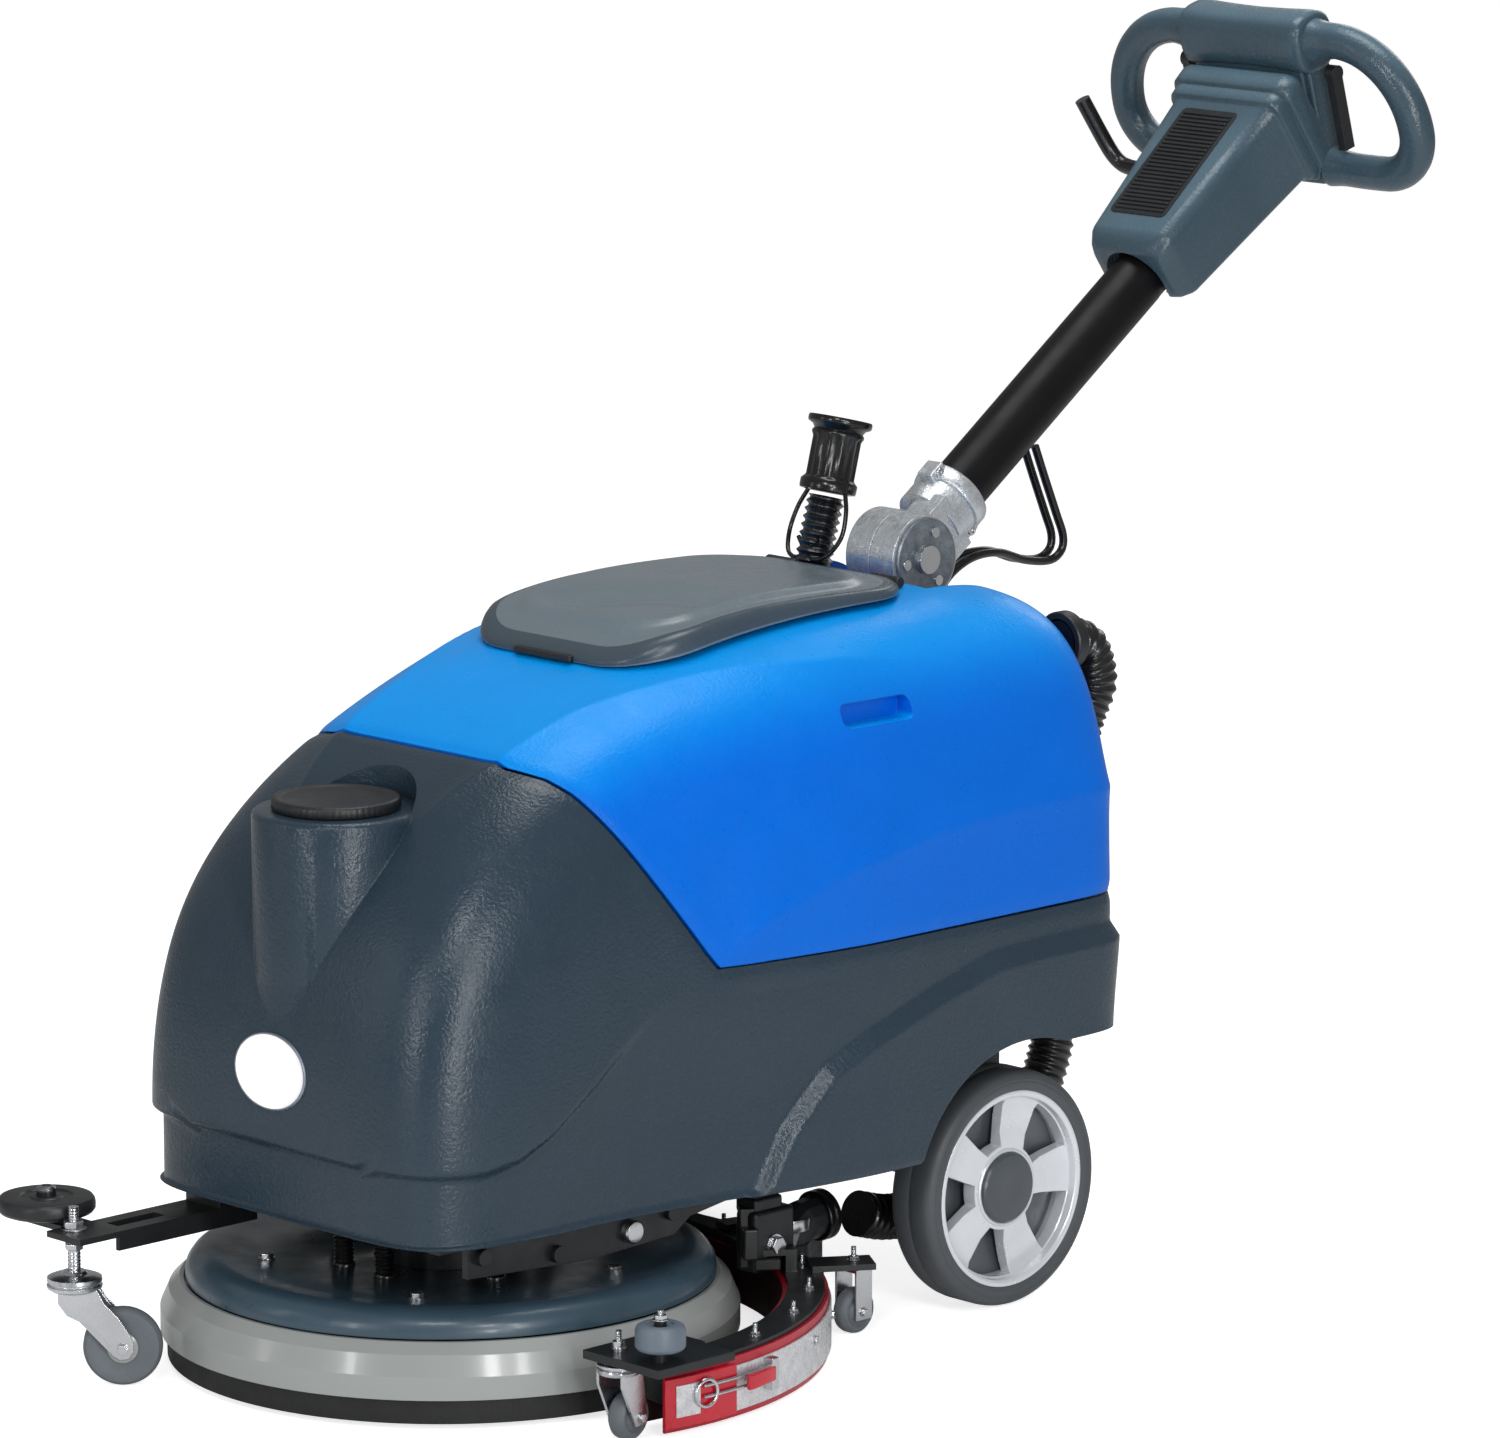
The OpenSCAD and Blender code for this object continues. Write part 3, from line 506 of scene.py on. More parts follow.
def roof(y):
    if y < SHOULDER_Y:
        t = (SHOULDER_Y - y) / (SHOULDER_Y - nose_y)
        return BONNET_Z + (top_z - BONNET_Z) * max(0.0, 1 - t ** 2.3) ** 0.42
    t = (y - SHOULDER_Y) / (rear_y - SHOULDER_Y)
    return TAIL_Z + (top_z - TAIL_Z) * max(0.0, 1 - t ** 5) ** 0.34


def half_width(y):
    w = nose_half + (body_half - nose_half) * float(smooth01((y + 450) / 300))
    if y < BOW_Y:
        w *= max(0.0, 1 - ((BOW_Y - y) / (BOW_Y - nose_y)) ** 7) ** (1 / 7)
    elif y > STERN_Y:
        w *= max(0.0, 1 - ((y - STERN_Y) / (rear_y - STERN_Y)) ** 14) ** (1 / 14)
    return w


def rib(y, count):
    """Points of one rib from the +X sill over the top to the -X sill, evenly spaced."""
    w, h = half_width(y), roof(y) - sill_z
    t = np.linspace(0, 1, 1600)
    a = np.pi / 2 * (t ** 3)
    half = np.stack([w * np.cos(a) ** (2 / RING_POWER), h * np.sin(a) ** (2 / RING_POWER)], 1)
    b = np.pi / 2 * (1 - (1 - t) ** 3)
    other = np.stack([w * np.cos(b) ** (2 / RING_POWER), h * np.sin(b) ** (2 / RING_POWER)], 1)
    pts = np.concatenate([half, other])
    order = np.argsort(np.arctan2(pts[:, 1] / h, pts[:, 0] / w), kind="stable")
    pts = pts[order]
    pts = np.concatenate([pts, pts[::-1] * [-1, 1]])
    run = np.concatenate([[0], np.cumsum(np.hypot(*np.diff(pts, axis=0).T))])
    want = np.linspace(0, run[-1], count)
    return np.stack([np.interp(want, run, pts[:, 0]), np.full(count, y),
                     sill_z + np.interp(want, run, pts[:, 1])], 1)


def side_distance(y, z, line):
    """Distance to a line in the side view, positive on the line's left (above it)."""
    best = np.full(y.shape, 1e9)
    sign = np.ones(y.shape)
    for (ay, az), (by, bz) in zip(line, line[1:]):
        dy, dz = by - ay, bz - az
        t = np.clip(((y - ay) * dy + (z - az) * dz) / (dy * dy + dz * dz), 0, 1)
        d = np.hypot(y - ay - t * dy, z - az - t * dz)
        side = np.sign(dy * (z - az) - dz * (y - ay))
        closer = d < best
        best = np.where(closer, d, best)
        sign = np.where(closer, side, sign)
    return best * sign


HOOD_EDGE = [(-900, 204), (-560, 204), (-528, 211), (-496, 226), (-453, 257), (-387, 311),
             (-326, 345), (-300, 400)]
FENDER_EDGE = [(-320, 60), (-296, 145), (-266, 200), (-225, 244), (-180, 266), (-110, 290),
               (-40, 309), (20, 312), (400, 312)]
SIDE_CREASE = [(-326, 347), (-286, 369), (-200, 400), (-100, 418), (0, 425), (400, 425)]
RIDGE = [(-530, 72), (-464, 92), (-384, 102), (-322, 124), (-180, 165), (0, 190)]


def moulded(p, n):
    """The tanks' moulded shapes, as a shift of each skin point along its normal."""
    x, y, z = p.T
    flank = smooth01((np.abs(n[:, 0]) - 0.35) / 0.4)
    hood = side_distance(y, z, HOOD_EDGE)
    step = smooth01((hood + 4) / 9)
    shift = 3.0 * step * (1 - smooth01((z - 215) / 120))
    shift -= 6.0 * (1 - step) * (1 - smooth01((z - 215) / 110))
    fender = side_distance(y, z, FENDER_EDGE)
    shift += flank * 9.0 * np.clip(-fender / 13, 0, 1) * smooth01((y + 330) / 60)
    crease = side_distance(y, z, SIDE_CREASE)
    fade = smooth01((y + 330) / 40)
    shift += flank * fade * 4.5 * np.exp(-np.abs(crease) / 26) * (z > SEAM_Z - 20)
    ridge_x = np.interp(y, [a for a, _ in RIDGE], [b for _, b in RIDGE])
    along = smooth01((y + 545) / 30) * (1 - smooth01((y + 190) / 130)) * (n[:, 2] > 0.1)
    shift += along * 3.2 * np.exp(-np.abs(np.abs(x) - ridge_x) / 13)
    seam = np.abs(side_distance(y, z, [(400, SEAM_Z)] + [(a, SEAM_Z + b) for a, b in SEAM]))
    shift -= 1.8 * np.exp(-(seam / 5.5) ** 2)
    return shift


def column():
    """The upright column below the filler cap, with a rounded rim round its ledge."""
    profile = [(COLUMN_R - 9, 244), (COLUMN_R - 1.5, 300), (COLUMN_R, 340), (COLUMN_R, ledge_z - 5),
               (COLUMN_R - 0.8, ledge_z - 2.4), (COLUMN_R - 2.6, ledge_z - 0.6), (COLUMN_R - 5, ledge_z)]
    steps = 160
    verts = [(r * math.cos(2 * math.pi * k / steps), cap_y + r * math.sin(2 * math.pi * k / steps), z)
             for r, z in profile for k in range(steps)]
    faces = [tuple(reversed(range(steps))), tuple(range(len(verts) - steps, len(verts)))]
    for row in range(len(profile) - 1):
        for k in range(steps):
            a, b = row * steps + k, row * steps + (k + 1) % steps
            faces.append((a, b, b + steps, a + steps))
    return cutter(verts, faces)


def body_mesh():
    """The closed skin of both tanks: evenly spaced ribs, closed at both ends."""
    stations, count = ((300, 380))
    t = (1 - np.cos(np.pi * np.linspace(0, 1, stations))) / 2
    ys = nose_y + 0.4 + (rear_y - nose_y - 0.8) * t
    even = np.linspace(nose_y + 0.4, rear_y - 0.4, stations)
    ys = 0.45 * ys + 0.55 * even
    ribs = [rib(y, count) for y in ys]
    rings = 60

    def closing(edge):
        centre = np.array([0, edge[0, 1], (edge[:, 2].max() + sill_z) / 2])
        out = []
        for k in range(1, rings):
            s = 1 - k / rings
            ring = centre + (edge - centre) * [s, 1, s]
            ring[0, 2] = ring[-1, 2] = centre[2] + (sill_z - centre[2]) * s
            out.append(ring)
        return out, centre
    front, front_mid = closing(ribs[0])
    back, back_mid = closing(ribs[-1])
    loops = list(reversed(front)) + ribs + back
    verts = np.concatenate(loops + [front_mid[None], back_mid[None]])
    faces = []
    for i in range(len(loops) - 1):
        for k in range(count):
            a, b = i * count + k, i * count + (k + 1) % count
            faces.append((a, b, b + count, a + count))
    last = (len(loops) - 1) * count
    mid = len(loops) * count
    for k in range(count):
        faces.append((mid, (k + 1) % count, k))
        faces.append((mid + 1, last + k, last + (k + 1) % count))
    mesh = bpy.data.meshes.new("skin")
    mesh.from_pydata((verts * MM + np.array(AXLE)).tolist(), [], faces)
    bm = bmesh.new()
    bm.from_mesh(mesh)
    bmesh.ops.recalc_face_normals(bm, faces=bm.faces)
    bm.to_mesh(mesh)
    bm.free()
    n = np.zeros(len(mesh.vertices) * 3)
    mesh.vertex_normals.foreach_get("vector", n)
    n = n.reshape(-1, 3)
    shift = moulded(verts, n) * smooth01((verts[:, 2] - sill_z) / 4)
    flat = (verts[:, 2] < sill_z + 0.01)
    moved = verts + n * [1, 1, 1] * shift[:, None]
    under = np.array([1.0, 1.0, 0.0])
    moved[flat] = verts[flat] + (n * under)[flat] * -6.0 * (verts[flat][:, 1:2] < -300)
    mesh.vertices.foreach_set("co", (moved * MM + np.array(AXLE)).ravel())
    mesh.update()
    return mesh


def cutter(verts, faces):
    mesh = bpy.data.meshes.new("cutter")
    mesh.from_pydata([Vector(v) * MM + AXLE for v in verts], [], faces)
    obj = bpy.data.objects.new("cutter", mesh)
    bpy.context.collection.objects.link(obj)
    tidy_mesh(obj, 30)
    return obj


def cut_box(x0, x1, y0, y1, z0, z1):
    return cutter(*box_verts((x0, y0, z0), (x1, y1, z1)))


def cut_round(origin, direction, radius, length, steps=72):
    place = axis_frame(origin, direction)
    verts = [place @ Vector((radius * math.cos(2 * math.pi * k / steps),
                             radius * math.sin(2 * math.pi * k / steps), h))
             for h in (0, length) for k in range(steps)]
    faces = [tuple(reversed(range(steps))), tuple(range(steps, 2 * steps))]
    faces += [(k, (k + 1) % steps, steps + (k + 1) % steps, steps + k) for k in range(steps)]
    return cutter(verts, faces)


def cut_upper(shift):
    """The region above the seam, moved up by `shift` on the straight part."""
    line = [(300, SEAM_Z + shift)]
    line += [(y + shift, SEAM_Z + z + shift * 0.4) for y, z in SEAM]
    line += [(300, SEAM_Z + 400)]
    n = len(line)
    verts = [(x, y, z) for x in (-320, 320) for y, z in line]
    faces = [tuple(range(n)), tuple(reversed(range(n, 2 * n)))]
    faces += [(k, n + k, n + (k + 1) % n, (k + 1) % n) for k in range(n)]
    return cutter(verts, faces)


def apply_cuts(obj, cuts):
    """Runs booleans on obj one after another and removes the cutters."""
    for operation, tool in cuts:
        mod = obj.modifiers.new("cut", "BOOLEAN")
        mod.operation = operation
        mod.solver = "MANIFOLD"
        mod.object = tool
    bpy.context.view_layer.update()
    shaped = bpy.data.meshes.new_from_object(obj.evaluated_get(
        bpy.context.evaluated_depsgraph_get()))
    obj.modifiers.clear()
    obj.data = shaped
    for _, tool in cuts:
        bpy.data.objects.remove(tool)


def tank(name, mesh, mat, cuts, node):
    obj = bpy.data.objects.new(name, mesh)
    bpy.context.collection.objects.link(obj)
    apply_cuts(obj, cuts)
    tidy_mesh(obj, 38)
    obj.data.materials.clear()
    obj.data.materials.append(mat)
    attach(obj, "chassis")
    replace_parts(obj, node)
    return obj


CHANNEL_HALF = 88.0
ARCH_R = tyre_r + 30
CHANNEL_Y = 28.0
LID_HOLE = (-84.0, 84.0, -290.0, -62.0)
GRIP = (-184.0, -100.0, 509.0, 535.0)


def grip_recess(side):
    """A hand recess with rounded ends that narrows inwards."""
    y0, y1, z0, z1 = GRIP
    verts = []
    for x, inset, drop in ((300, 0, 0), (186, 4, 2)):
        for cy, cz, start in ((y1, z1, 0), (y0, z1, 90), (y0, z0, 180), (y1, z0, 270)):
            r = 9.0 - inset / 2
            by = cy + (-r - inset if cy == y1 else r + inset)
            bz = cz + (-r - inset if cz == z1 else r + inset) - drop
            for k in range(9):
                a = math.radians(start + 11.25 * k)
                verts.append((side * x, by + r * math.cos(a), bz + r * math.sin(a)))
    n = len(verts) // 2
    faces = [tuple(range(n)), tuple(reversed(range(n, 2 * n)))]
    faces += [(k, n + k, n + (k + 1) % n, (k + 1) % n) for k in range(n)]
    return cutter(verts, faces)


def build_tanks():
    skin = body_mesh()
    shell = tank("lower_shell", skin.copy(), SLATE, [
        ("DIFFERENCE", cut_upper(-1.4)),
        ("DIFFERENCE", cut_round((0, cap_y, ledge_z), (0, 0, 1), 64, 200)),
        ("DIFFERENCE", cut_box(-82, 82, -680, cap_y, ledge_z, 620)),
        ("UNION", column()),
        ("DIFFERENCE", cut_round((0, cap_y, 300), (0, 0, 1), 46, 400, 48)),
        ("DIFFERENCE", cut_round((-320, 0, axle_z), (1, 0, 0), ARCH_R, 640, 128)),
        ("DIFFERENCE", cut_box(-CHANNEL_HALF, CHANNEL_HALF, CHANNEL_Y, 300, 60, 700)),
        ("DIFFERENCE", cut_box(-300, 300, 0, 300, 60, 222)),
        ("DIFFERENCE", cut_box(-150, 150, -180, 1, 100, 196)),
    ], "lower_tank")
    # the wheel arch's inner faces take the black: painted shade inside the arch
    shell.data.materials.append(BLACK)
    for face in shell.data.polygons:
        mid = (Vector(face.center) - AXLE) / MM
        inward = face.normal.y * mid.y + face.normal.z * (mid.z - axle_z)
        if abs(math.hypot(mid.y, mid.z - axle_z) - ARCH_R) < 1.5 and inward < -0.9 * ARCH_R:
            face.material_index = 1
    tank("recovery_shell", skin.copy(), AZURE, [
        ("INTERSECT", cut_upper(1.4)),
        ("DIFFERENCE", cut_box(-165, 165, -300, 18, 346, 520)),
        ("DIFFERENCE", cut_box(*LID_HOLE, 500, 700)),
        ("DIFFERENCE", cut_box(-CHANNEL_HALF, CHANNEL_HALF, CHANNEL_Y, 300, 60, 700)),
        ("DIFFERENCE", grip_recess(1)),
        ("DIFFERENCE", grip_recess(-1)),
    ], "recovery_tank")


build_tanks()


# ------------------------------------------------------------------ lid, badge, filler cap
LID_CORNER = 62.0


def rounded_outline(x0, x1, y0, y1, r, per=9):
    out = []
    for cx, cy, start in ((x1 - r, y1 - r, 0), (x0 + r, y1 - r, 90), (x0 + r, y0 + r, 180),
                          (x1 - r, y0 + r, 270)):
        for k in range(per + 1):
            a = math.radians(start + 90 * k / per)
            out.append((cx + r * math.cos(a), cy + r * math.sin(a)))
    return out


def even_outline(points, count):
    path = even_path([Vector((x, y, 0)) for x, y in points + points[:1]], 1.0)
    return [path[round(k * (len(path) - 1) / count)].xy for k in range(count)]


def build_lid():
    x1, y0, y1 = hi("tank_lid", 0), lo("tank_lid", 1), hi("tank_lid", 1)
    outline = even_outline(rounded_outline(-x1, x1, y0, y1, LID_CORNER), 200)
    mid = Vector((0, (y0 + y1) / 2))

    def lift(p):
        return 19 * float(smooth01((p.y - y0 + 42) / 90)) - 9 * float(smooth01((p.y - y0 - 70) / 220))

    def swoosh(p, s):
        """The raised plate in the middle, with a soft hollow across its front."""
        plate_up = 4.5 * float(smooth01((0.84 - s) / 0.07))
        hollow = 6.5 * math.exp(-((p.y - y0 - 78 - 34 * math.sin(p.x / 52)) / 24) ** 2)
        return plate_up + (4.0 * (1 - s * s)) - hollow * float(smooth01((0.8 - s) / 0.2))
    verts, faces, rings = [], [], []
    edge = [(1.0, 0.12), (1.003, 0.3), (1.0, 0.52), (0.992, 0.74), (0.978, 0.9), (0.955, 0.98)]
    inner = [0.955 - 0.955 * k / 34 for k in range(1, 34)]
    for s, share in edge + [(s, 1.0) for s in inner]:
        rings.append(list(range(len(verts), len(verts) + len(outline))))
        for q in outline:
            p = mid + (Vector(q) - mid) * s
            verts.append((p.x, p.y, roof(p.y) + 1.6 + (lift(p) - 1.6) * share + swoosh(p, s)))
    rings.append([len(verts)])
    verts.append((mid.x, mid.y, roof(mid.y) + lift(mid) + swoosh(mid, 0)))
    under = []
    for s in (1.0, 0.8, 0.5):
        under.append(list(range(len(verts), len(verts) + len(outline))))
        for q in outline:
            p = mid + (Vector(q) - mid) * s
            verts.append((p.x, p.y, roof(p.y) + 1.6))
    under.append([len(verts)])
    verts.append((mid.x, mid.y, roof(mid.y) + 1.6))
    for low, high in list(zip(rings, rings[1:])) + list(zip(under, under[1:])):
        join_rings(faces, low, high)
    join_rings(faces, under[0], rings[0])
    lid = piece("lid_top", verts, faces, LID_GREY, "lid", 50)
    # the rim rings take the darker lid copy: painted shade on the lid's sides
    lid.data.materials.append(LID_SIDE_SHADE)
    for f in lid.data.polygons:
        if f.index < 6 * len(outline):
            f.material_index = 1
    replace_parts(lid, "tank_lid")
    # the lip that drops into the tank mouth, and the pull under the front edge
    for name, box in (("lid_lip_front", (-76, 76, -282, -276)), ("lid_lip_rear", (-76, 76, -80, -74)),
                      ("lid_lip_left", (70, 76, -276, -80)), ("lid_lip_right", (-76, -70, -276, -80))):
        block(name, (box[0], box[2], 546), (box[1], box[3], 578), LID_GREY, "lid", 0.8)
    block("lid_pull", (-34, y0 - 5, roof(y0) + 1.2), (34, y0 + 12, roof(y0) + 7), BLACK, "lid", 2.0, segments=3)
    # hinge barrels at the rear edge
    for x in (-62, 62):
        lathe(f"lid_hinge_{'left' if x > 0 else 'right'}",
              [(0, -17), (4.4, -17), (5, -16), (5, 16), (4.4, 17), (0, 17)], BLACK,
              (x, y1 + 3, roof(y1) + 4.6), (1, 0, 0), "lid", 24)


def build_badge():
    place = axis_frame((0, nose_y - 0.6, 266), (0, -1, 0.07), (0, 0, 1))
    wide, tall, steps = 43.0, 31.0, 96
    verts, faces, rings = [], [], []
    for s, h in ((0.98, -3.0), (1.0, 0.2), (1.0, 1.8), (0.975, 2.6), (0.95, 2.4), (0.94, 2.1),
                 (0.8, 2.7), (0.5, 3.2), (0.25, 3.4)):
        rings.append(list(range(len(verts), len(verts) + steps)))
        for k in range(steps):
            a = 2 * math.pi * k / steps
            verts.append(place @ Vector((wide * s * math.cos(a), tall * s * math.sin(a), h)))
    rings.append([len(verts)])
    verts.append(place @ Vector((0, 0, 3.45)))
    faces.append(tuple(reversed(rings[0])))
    for low, high in zip(rings, rings[1:]):
        join_rings(faces, low, high)
    obj = piece("badge_plate", verts, faces, WHITE, "chassis", 50)
    obj.data.materials.append(BLUE_TRIM)
    for f in obj.data.polygons:
        if f.index < 1 + 4 * steps:
            f.material_index = 1
    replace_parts(obj, "badge")


def build_cap():
    obj = lathe("filler_lid", [(0, -19), (41, -19), (45, -18), (45, -4.4), (50.6, -4.4),
                               (51.4, -3.4), (51.4, 2.8), (50.4, 4.4), (48.4, 5), (46, 4.8),
                               (44.2, 3.6), (42, 3.1), (8, 3.0), (6, 2.6), (0, 2.6)],
                BLACK, (0, cap_y, ledge_z + 5), body="cap", steps=180, sharp=45,
                wave=lambda a, r, h: 0.35 * math.cos(60 * a) if r > 50 else 0.0)
    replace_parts(obj, "filler_cap")


# ------------------------------------------------------------------ hoses and plug
DRAIN_X = -70.0


def build_hoses():
    lean = math.radians(15)
    axis = Vector((0, math.sin(lean), math.cos(lean)))
    bend = Vector((DRAIN_X, 52, 584))
    top = bend + 62 * axis
    hose = ribbed_hose("drain_hose_ribbed", [(DRAIN_X, 62, 372), (DRAIN_X, 62, 432),
                       (DRAIN_X, 56, 530), tuple(bend), tuple(top - axis * 3)], 16.5, HOSE,
                       "chassis", 7.0, 3.0)
    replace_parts(hose, "drain_hose")
    profile = [(0, 0), (19, 0), (24, 1), (24.5, 3), (24.5, 9), (22.5, 11), (20.6, 13),
               (20.6, 46), (22.5, 49), (22.5, 51), (21, 53), (23, 56), (27, 58), (27.6, 59.5),
               (27.6, 62.5), (26.8, 64), (22, 64), (20, 61), (0, 60)]
    plug = lathe("drain_plug_body", profile, BLACK_GLOSS, top + axis * 0.5, axis, "plug", 120,
                 45, wave=lambda a, r, h: 0.8 * math.cos(12 * a) if 12 < h < 47 and r > 15 else 0)
    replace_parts(plug, "drain_plug")
    # the plug's loose tether: two loops of cord hanging round the hose
    for side in (-1, 1):
        loop = [top + Vector((side * 22, 0, 2)), top + Vector((side * 29, -6, -14)),
                top + Vector((side * 31, -14, -34)), top + Vector((side * 22, -24, -50)),
                top + Vector((side * 6, -27, -52)), top + Vector((side * -12, -22, -36))]
        tube(f"drain_tether_{'left' if side > 0 else 'right'}", loop, 2.0, BLACK_GLOSS,
             "chassis", 10, 3.0)
    # the moulded cuff where the drain hose leaves the tank's rear channel
    lathe("drain_cuff", [(17, -14), (22, -14), (23, -12), (23, 0), (21, 2), (17, 2)], BLACK,
          (DRAIN_X, 59, 480), (0, -0.06, 1), "chassis", 48)
    path = [(122, -84, 76), (122, -50, 67), (120, 0, 64), (119, 50, 72),
            (118, 105, 108), (118, 146, 164), (118, 158, 230), (124, 156, 340),
            (132, 156, 420), (142, 162, 466), (148, 170, 497), (148, 161, 526),
            (148, 144, 536), (148, rear_y + 0.8, 537)]
    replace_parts(ribbed_hose("suction_hose_ribbed", path, 19.5, HOSE, "chassis", 7.5, 2.6),
                "suction_hose")
    lathe("suction_cuff", [(19, 0), (24, 0), (25, 1.5), (25, 11), (23.5, 13), (19, 13)], BLACK,
          (148, rear_y + 0.6, 537), (0, 1, 0), "chassis", 48)


# ------------------------------------------------------------------ knuckle, tube and head
def at_handle(x, u, n):
    return HANDLE @ Vector((x, u, n))


def handle_dir(x, u, n):
    return HANDLE.to_3x3() @ Vector((x, u, n))


LOOP_TILT = math.radians(-20)
LOOP = HANDLE @ Matrix.Translation((0, 574, 22)) @ Matrix.Rotation(LOOP_TILT, 4, "X")


def rounded_section(half, top, bottom, r_top, r_bottom, per=7):
    """A closed (x, n) outline with rounded corners, counter-clockwise."""
    out = []
    for cx, cn, r, start in ((half - r_top, top - r_top, r_top, 0),
                             (r_top - half, top - r_top, r_top, 90),
                             (r_bottom - half, bottom + r_bottom, r_bottom, 180),
                             (half - r_bottom, bottom + r_bottom, r_bottom, 270)):
        for k in range(per + 1):
            a = math.radians(start + 90 * k / per)
            out.append((cx + r * math.cos(a), cn + r * math.sin(a)))
    return out


def loft(name, sections, place, mat, body, sharp=38.0):
    """Skins (position along y, outline in x and z) sections in a placed frame."""
    verts, faces, rings = [], [], []
    for u, outline in sections:
        rings.append(list(range(len(verts), len(verts) + len(outline))))
        verts += [place @ Vector((x, u, n)) for x, n in outline]
    for low, high in zip(rings, rings[1:]):
        join_rings(faces, low, high)
    faces += [tuple(reversed(rings[0])), tuple(rings[-1])]
    return piece(name, verts, faces, mat, body, sharp)


def build_head():
    def sec(u, half, top, bottom, r1=13.0, r2=7.0):
        return u, rounded_section(half, top, bottom, r1, r2)
    body = [sec(355, 37, 31, -15), sec(356.5, 39, 34, -17), sec(361, 42.5, 38.5, -20.5),
            sec(370, 46.5, 42.8, -23.5), sec(374, 47.5, 43.6, -24), sec(460, 54.3, 51.4, -24.5),
            sec(524, 59.4, 57.3, -25), sec(526, 60.6, 58.6, -25.6), sec(527, 63, 61, -27.4),
            sec(529, 64, 62, -28), sec(537, 64.6, 62.6, -28), sec(539, 64.4, 62.4, -28),
            sec(540, 67.4, 65.4, -30, 15), sec(542, 68.6, 66.6, -31, 15), sec(556, 69.4, 67.4, -31, 15),
            sec(560, 68, 66, -30, 14), sec(563, 62, 60, -26, 13), sec(575, 60, 56, -26)]
    shell = loft("head_shell", body, HANDLE, SLATE_HEAD, "handle")
    axis = handle_dir(0, 1, 0)
    tools = [("DIFFERENCE", cut_round(at_handle(0, 340, 0), axis, 26.5, 60)),
             ("DIFFERENCE", cut_arch())]
    apply_cuts(shell, tools)
    tidy_mesh(shell, 38)
    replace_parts(shell, "head_front", "head_rear")
    # the flange that carries the loops: two stacked plates with rolled edges
    for name, grow, q0, q1 in (("head_flange", 0.0, -12, 16), ("head_flange_front", -5.0, -17, -11)):
        outline = rounded_outline(-68 - grow, 68 + grow, -72 - grow, 50, 9)
        verts = [LOOP @ Vector((x, q, d)) for q in (q0, q1) for x, d in outline]
        n = len(outline)
        faces = [tuple(range(n)), tuple(reversed(range(n, 2 * n)))]
        faces += [(k, n + k, n + (k + 1) % n, (k + 1) % n) for k in range(n)]
        bevelled(piece(name, verts, faces, SLATE_HEAD, "handle", 30), 3.0, 4, 25)
    # the saddle across the top
    verts, faces, rings = [], [], []
    spans = [(-71, 21), (-70.4, 24), (-68, 26.5), (-60, 27), (-30, 25.8), (0, 25.2), (30, 25.8),
             (60, 27), (68, 26.5), (70.4, 24), (71, 21)]
    for x, r in spans:
        ring = []
        for k in range(56):
            a = 2 * math.pi * k / 56
            power = 2 / 2.7
            q = r * 0.92 * math.copysign(abs(math.cos(a)) ** power, math.cos(a))
            d = r * math.copysign(abs(math.sin(a)) ** power, math.sin(a))
            ring.append(len(verts))
            verts.append(LOOP @ Vector((x, q, 57 + d)))
        rings.append(ring)
    for low, high in zip(rings, rings[1:]):
        join_rings(faces, low, high)
    faces += [tuple(reversed(rings[0])), tuple(rings[-1])]
    piece("head_saddle", verts, faces, SLATE_HEAD, "handle", 45)
    # outlines for a rear cover behind the flange, only returned, never built into a mesh; then the two grip loops
    back = [(16, rounded_section(64, 46, -66, 14, 14)), (21, rounded_section(62, 44, -64, 14, 14)),
            (25, rounded_section(57, 40, -59, 12, 12)), (26, rounded_section(52, 36, -54, 10, 10))]
    for side, name in ((1, "left"), (-1, "right")):
        build_loop(side, name)
    return back


def cut_arch():
    """Opens the head's lower end round the tube."""
    pts = [(-31, -40), (31, -40), (31, 0)]
    pts += [(31 * math.cos(a), 31 * math.sin(a)) for a in
            [math.radians(10 * k) for k in range(1, 18)]] + [(-31, 0)]
    n = len(pts)
    verts = [HANDLE @ Vector((x, u, m)) for u in (340, 366) for x, m in pts]
    faces = [tuple(range(n)), tuple(reversed(range(n, 2 * n)))]
    faces += [(k, n + k, n + (k + 1) % n, (k + 1) % n) for k in range(n)]
    return cutter(verts, faces)


GRIP_R = 14.5
LOOP_REACH = 170.0
LOOP_HALF = 60.0


def loop_path(side):
    pts = [(66, 58), (92, LOOP_HALF)]
    for k in range(1, 12):
        a = math.radians(90 - 90 * k / 12)
        pts.append((92 + 78 * math.cos(a), -18 + 78 * math.sin(a)))
    for k in range(0, 9):
        a = math.radians(-90 * k / 8)
        pts.append((126 + 44 * math.cos(a), -18 + 42 * math.sin(a)))
    pts += [(96, -60), (66, -58)]
    return [LOOP @ Vector((side * x, 0, d)) for x, d in pts]


def build_loop(side, name):
    path = even_path(smooth_path(loop_path(side), 4), 4.0)

    def section(i, n):
        t = i / n
        flare = 5.0 * math.exp(-(t / 0.05) ** 2) + 3.0 * math.exp(-((1 - t) / 0.05) ** 2)
        return circle(GRIP_R + flare, 28, 1.08)
    obj = sweep("grip_loop_" + name, path, section, SLATE_HEAD, "handle", 50)
    if side > 0:
        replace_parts(obj, "handle_loops")


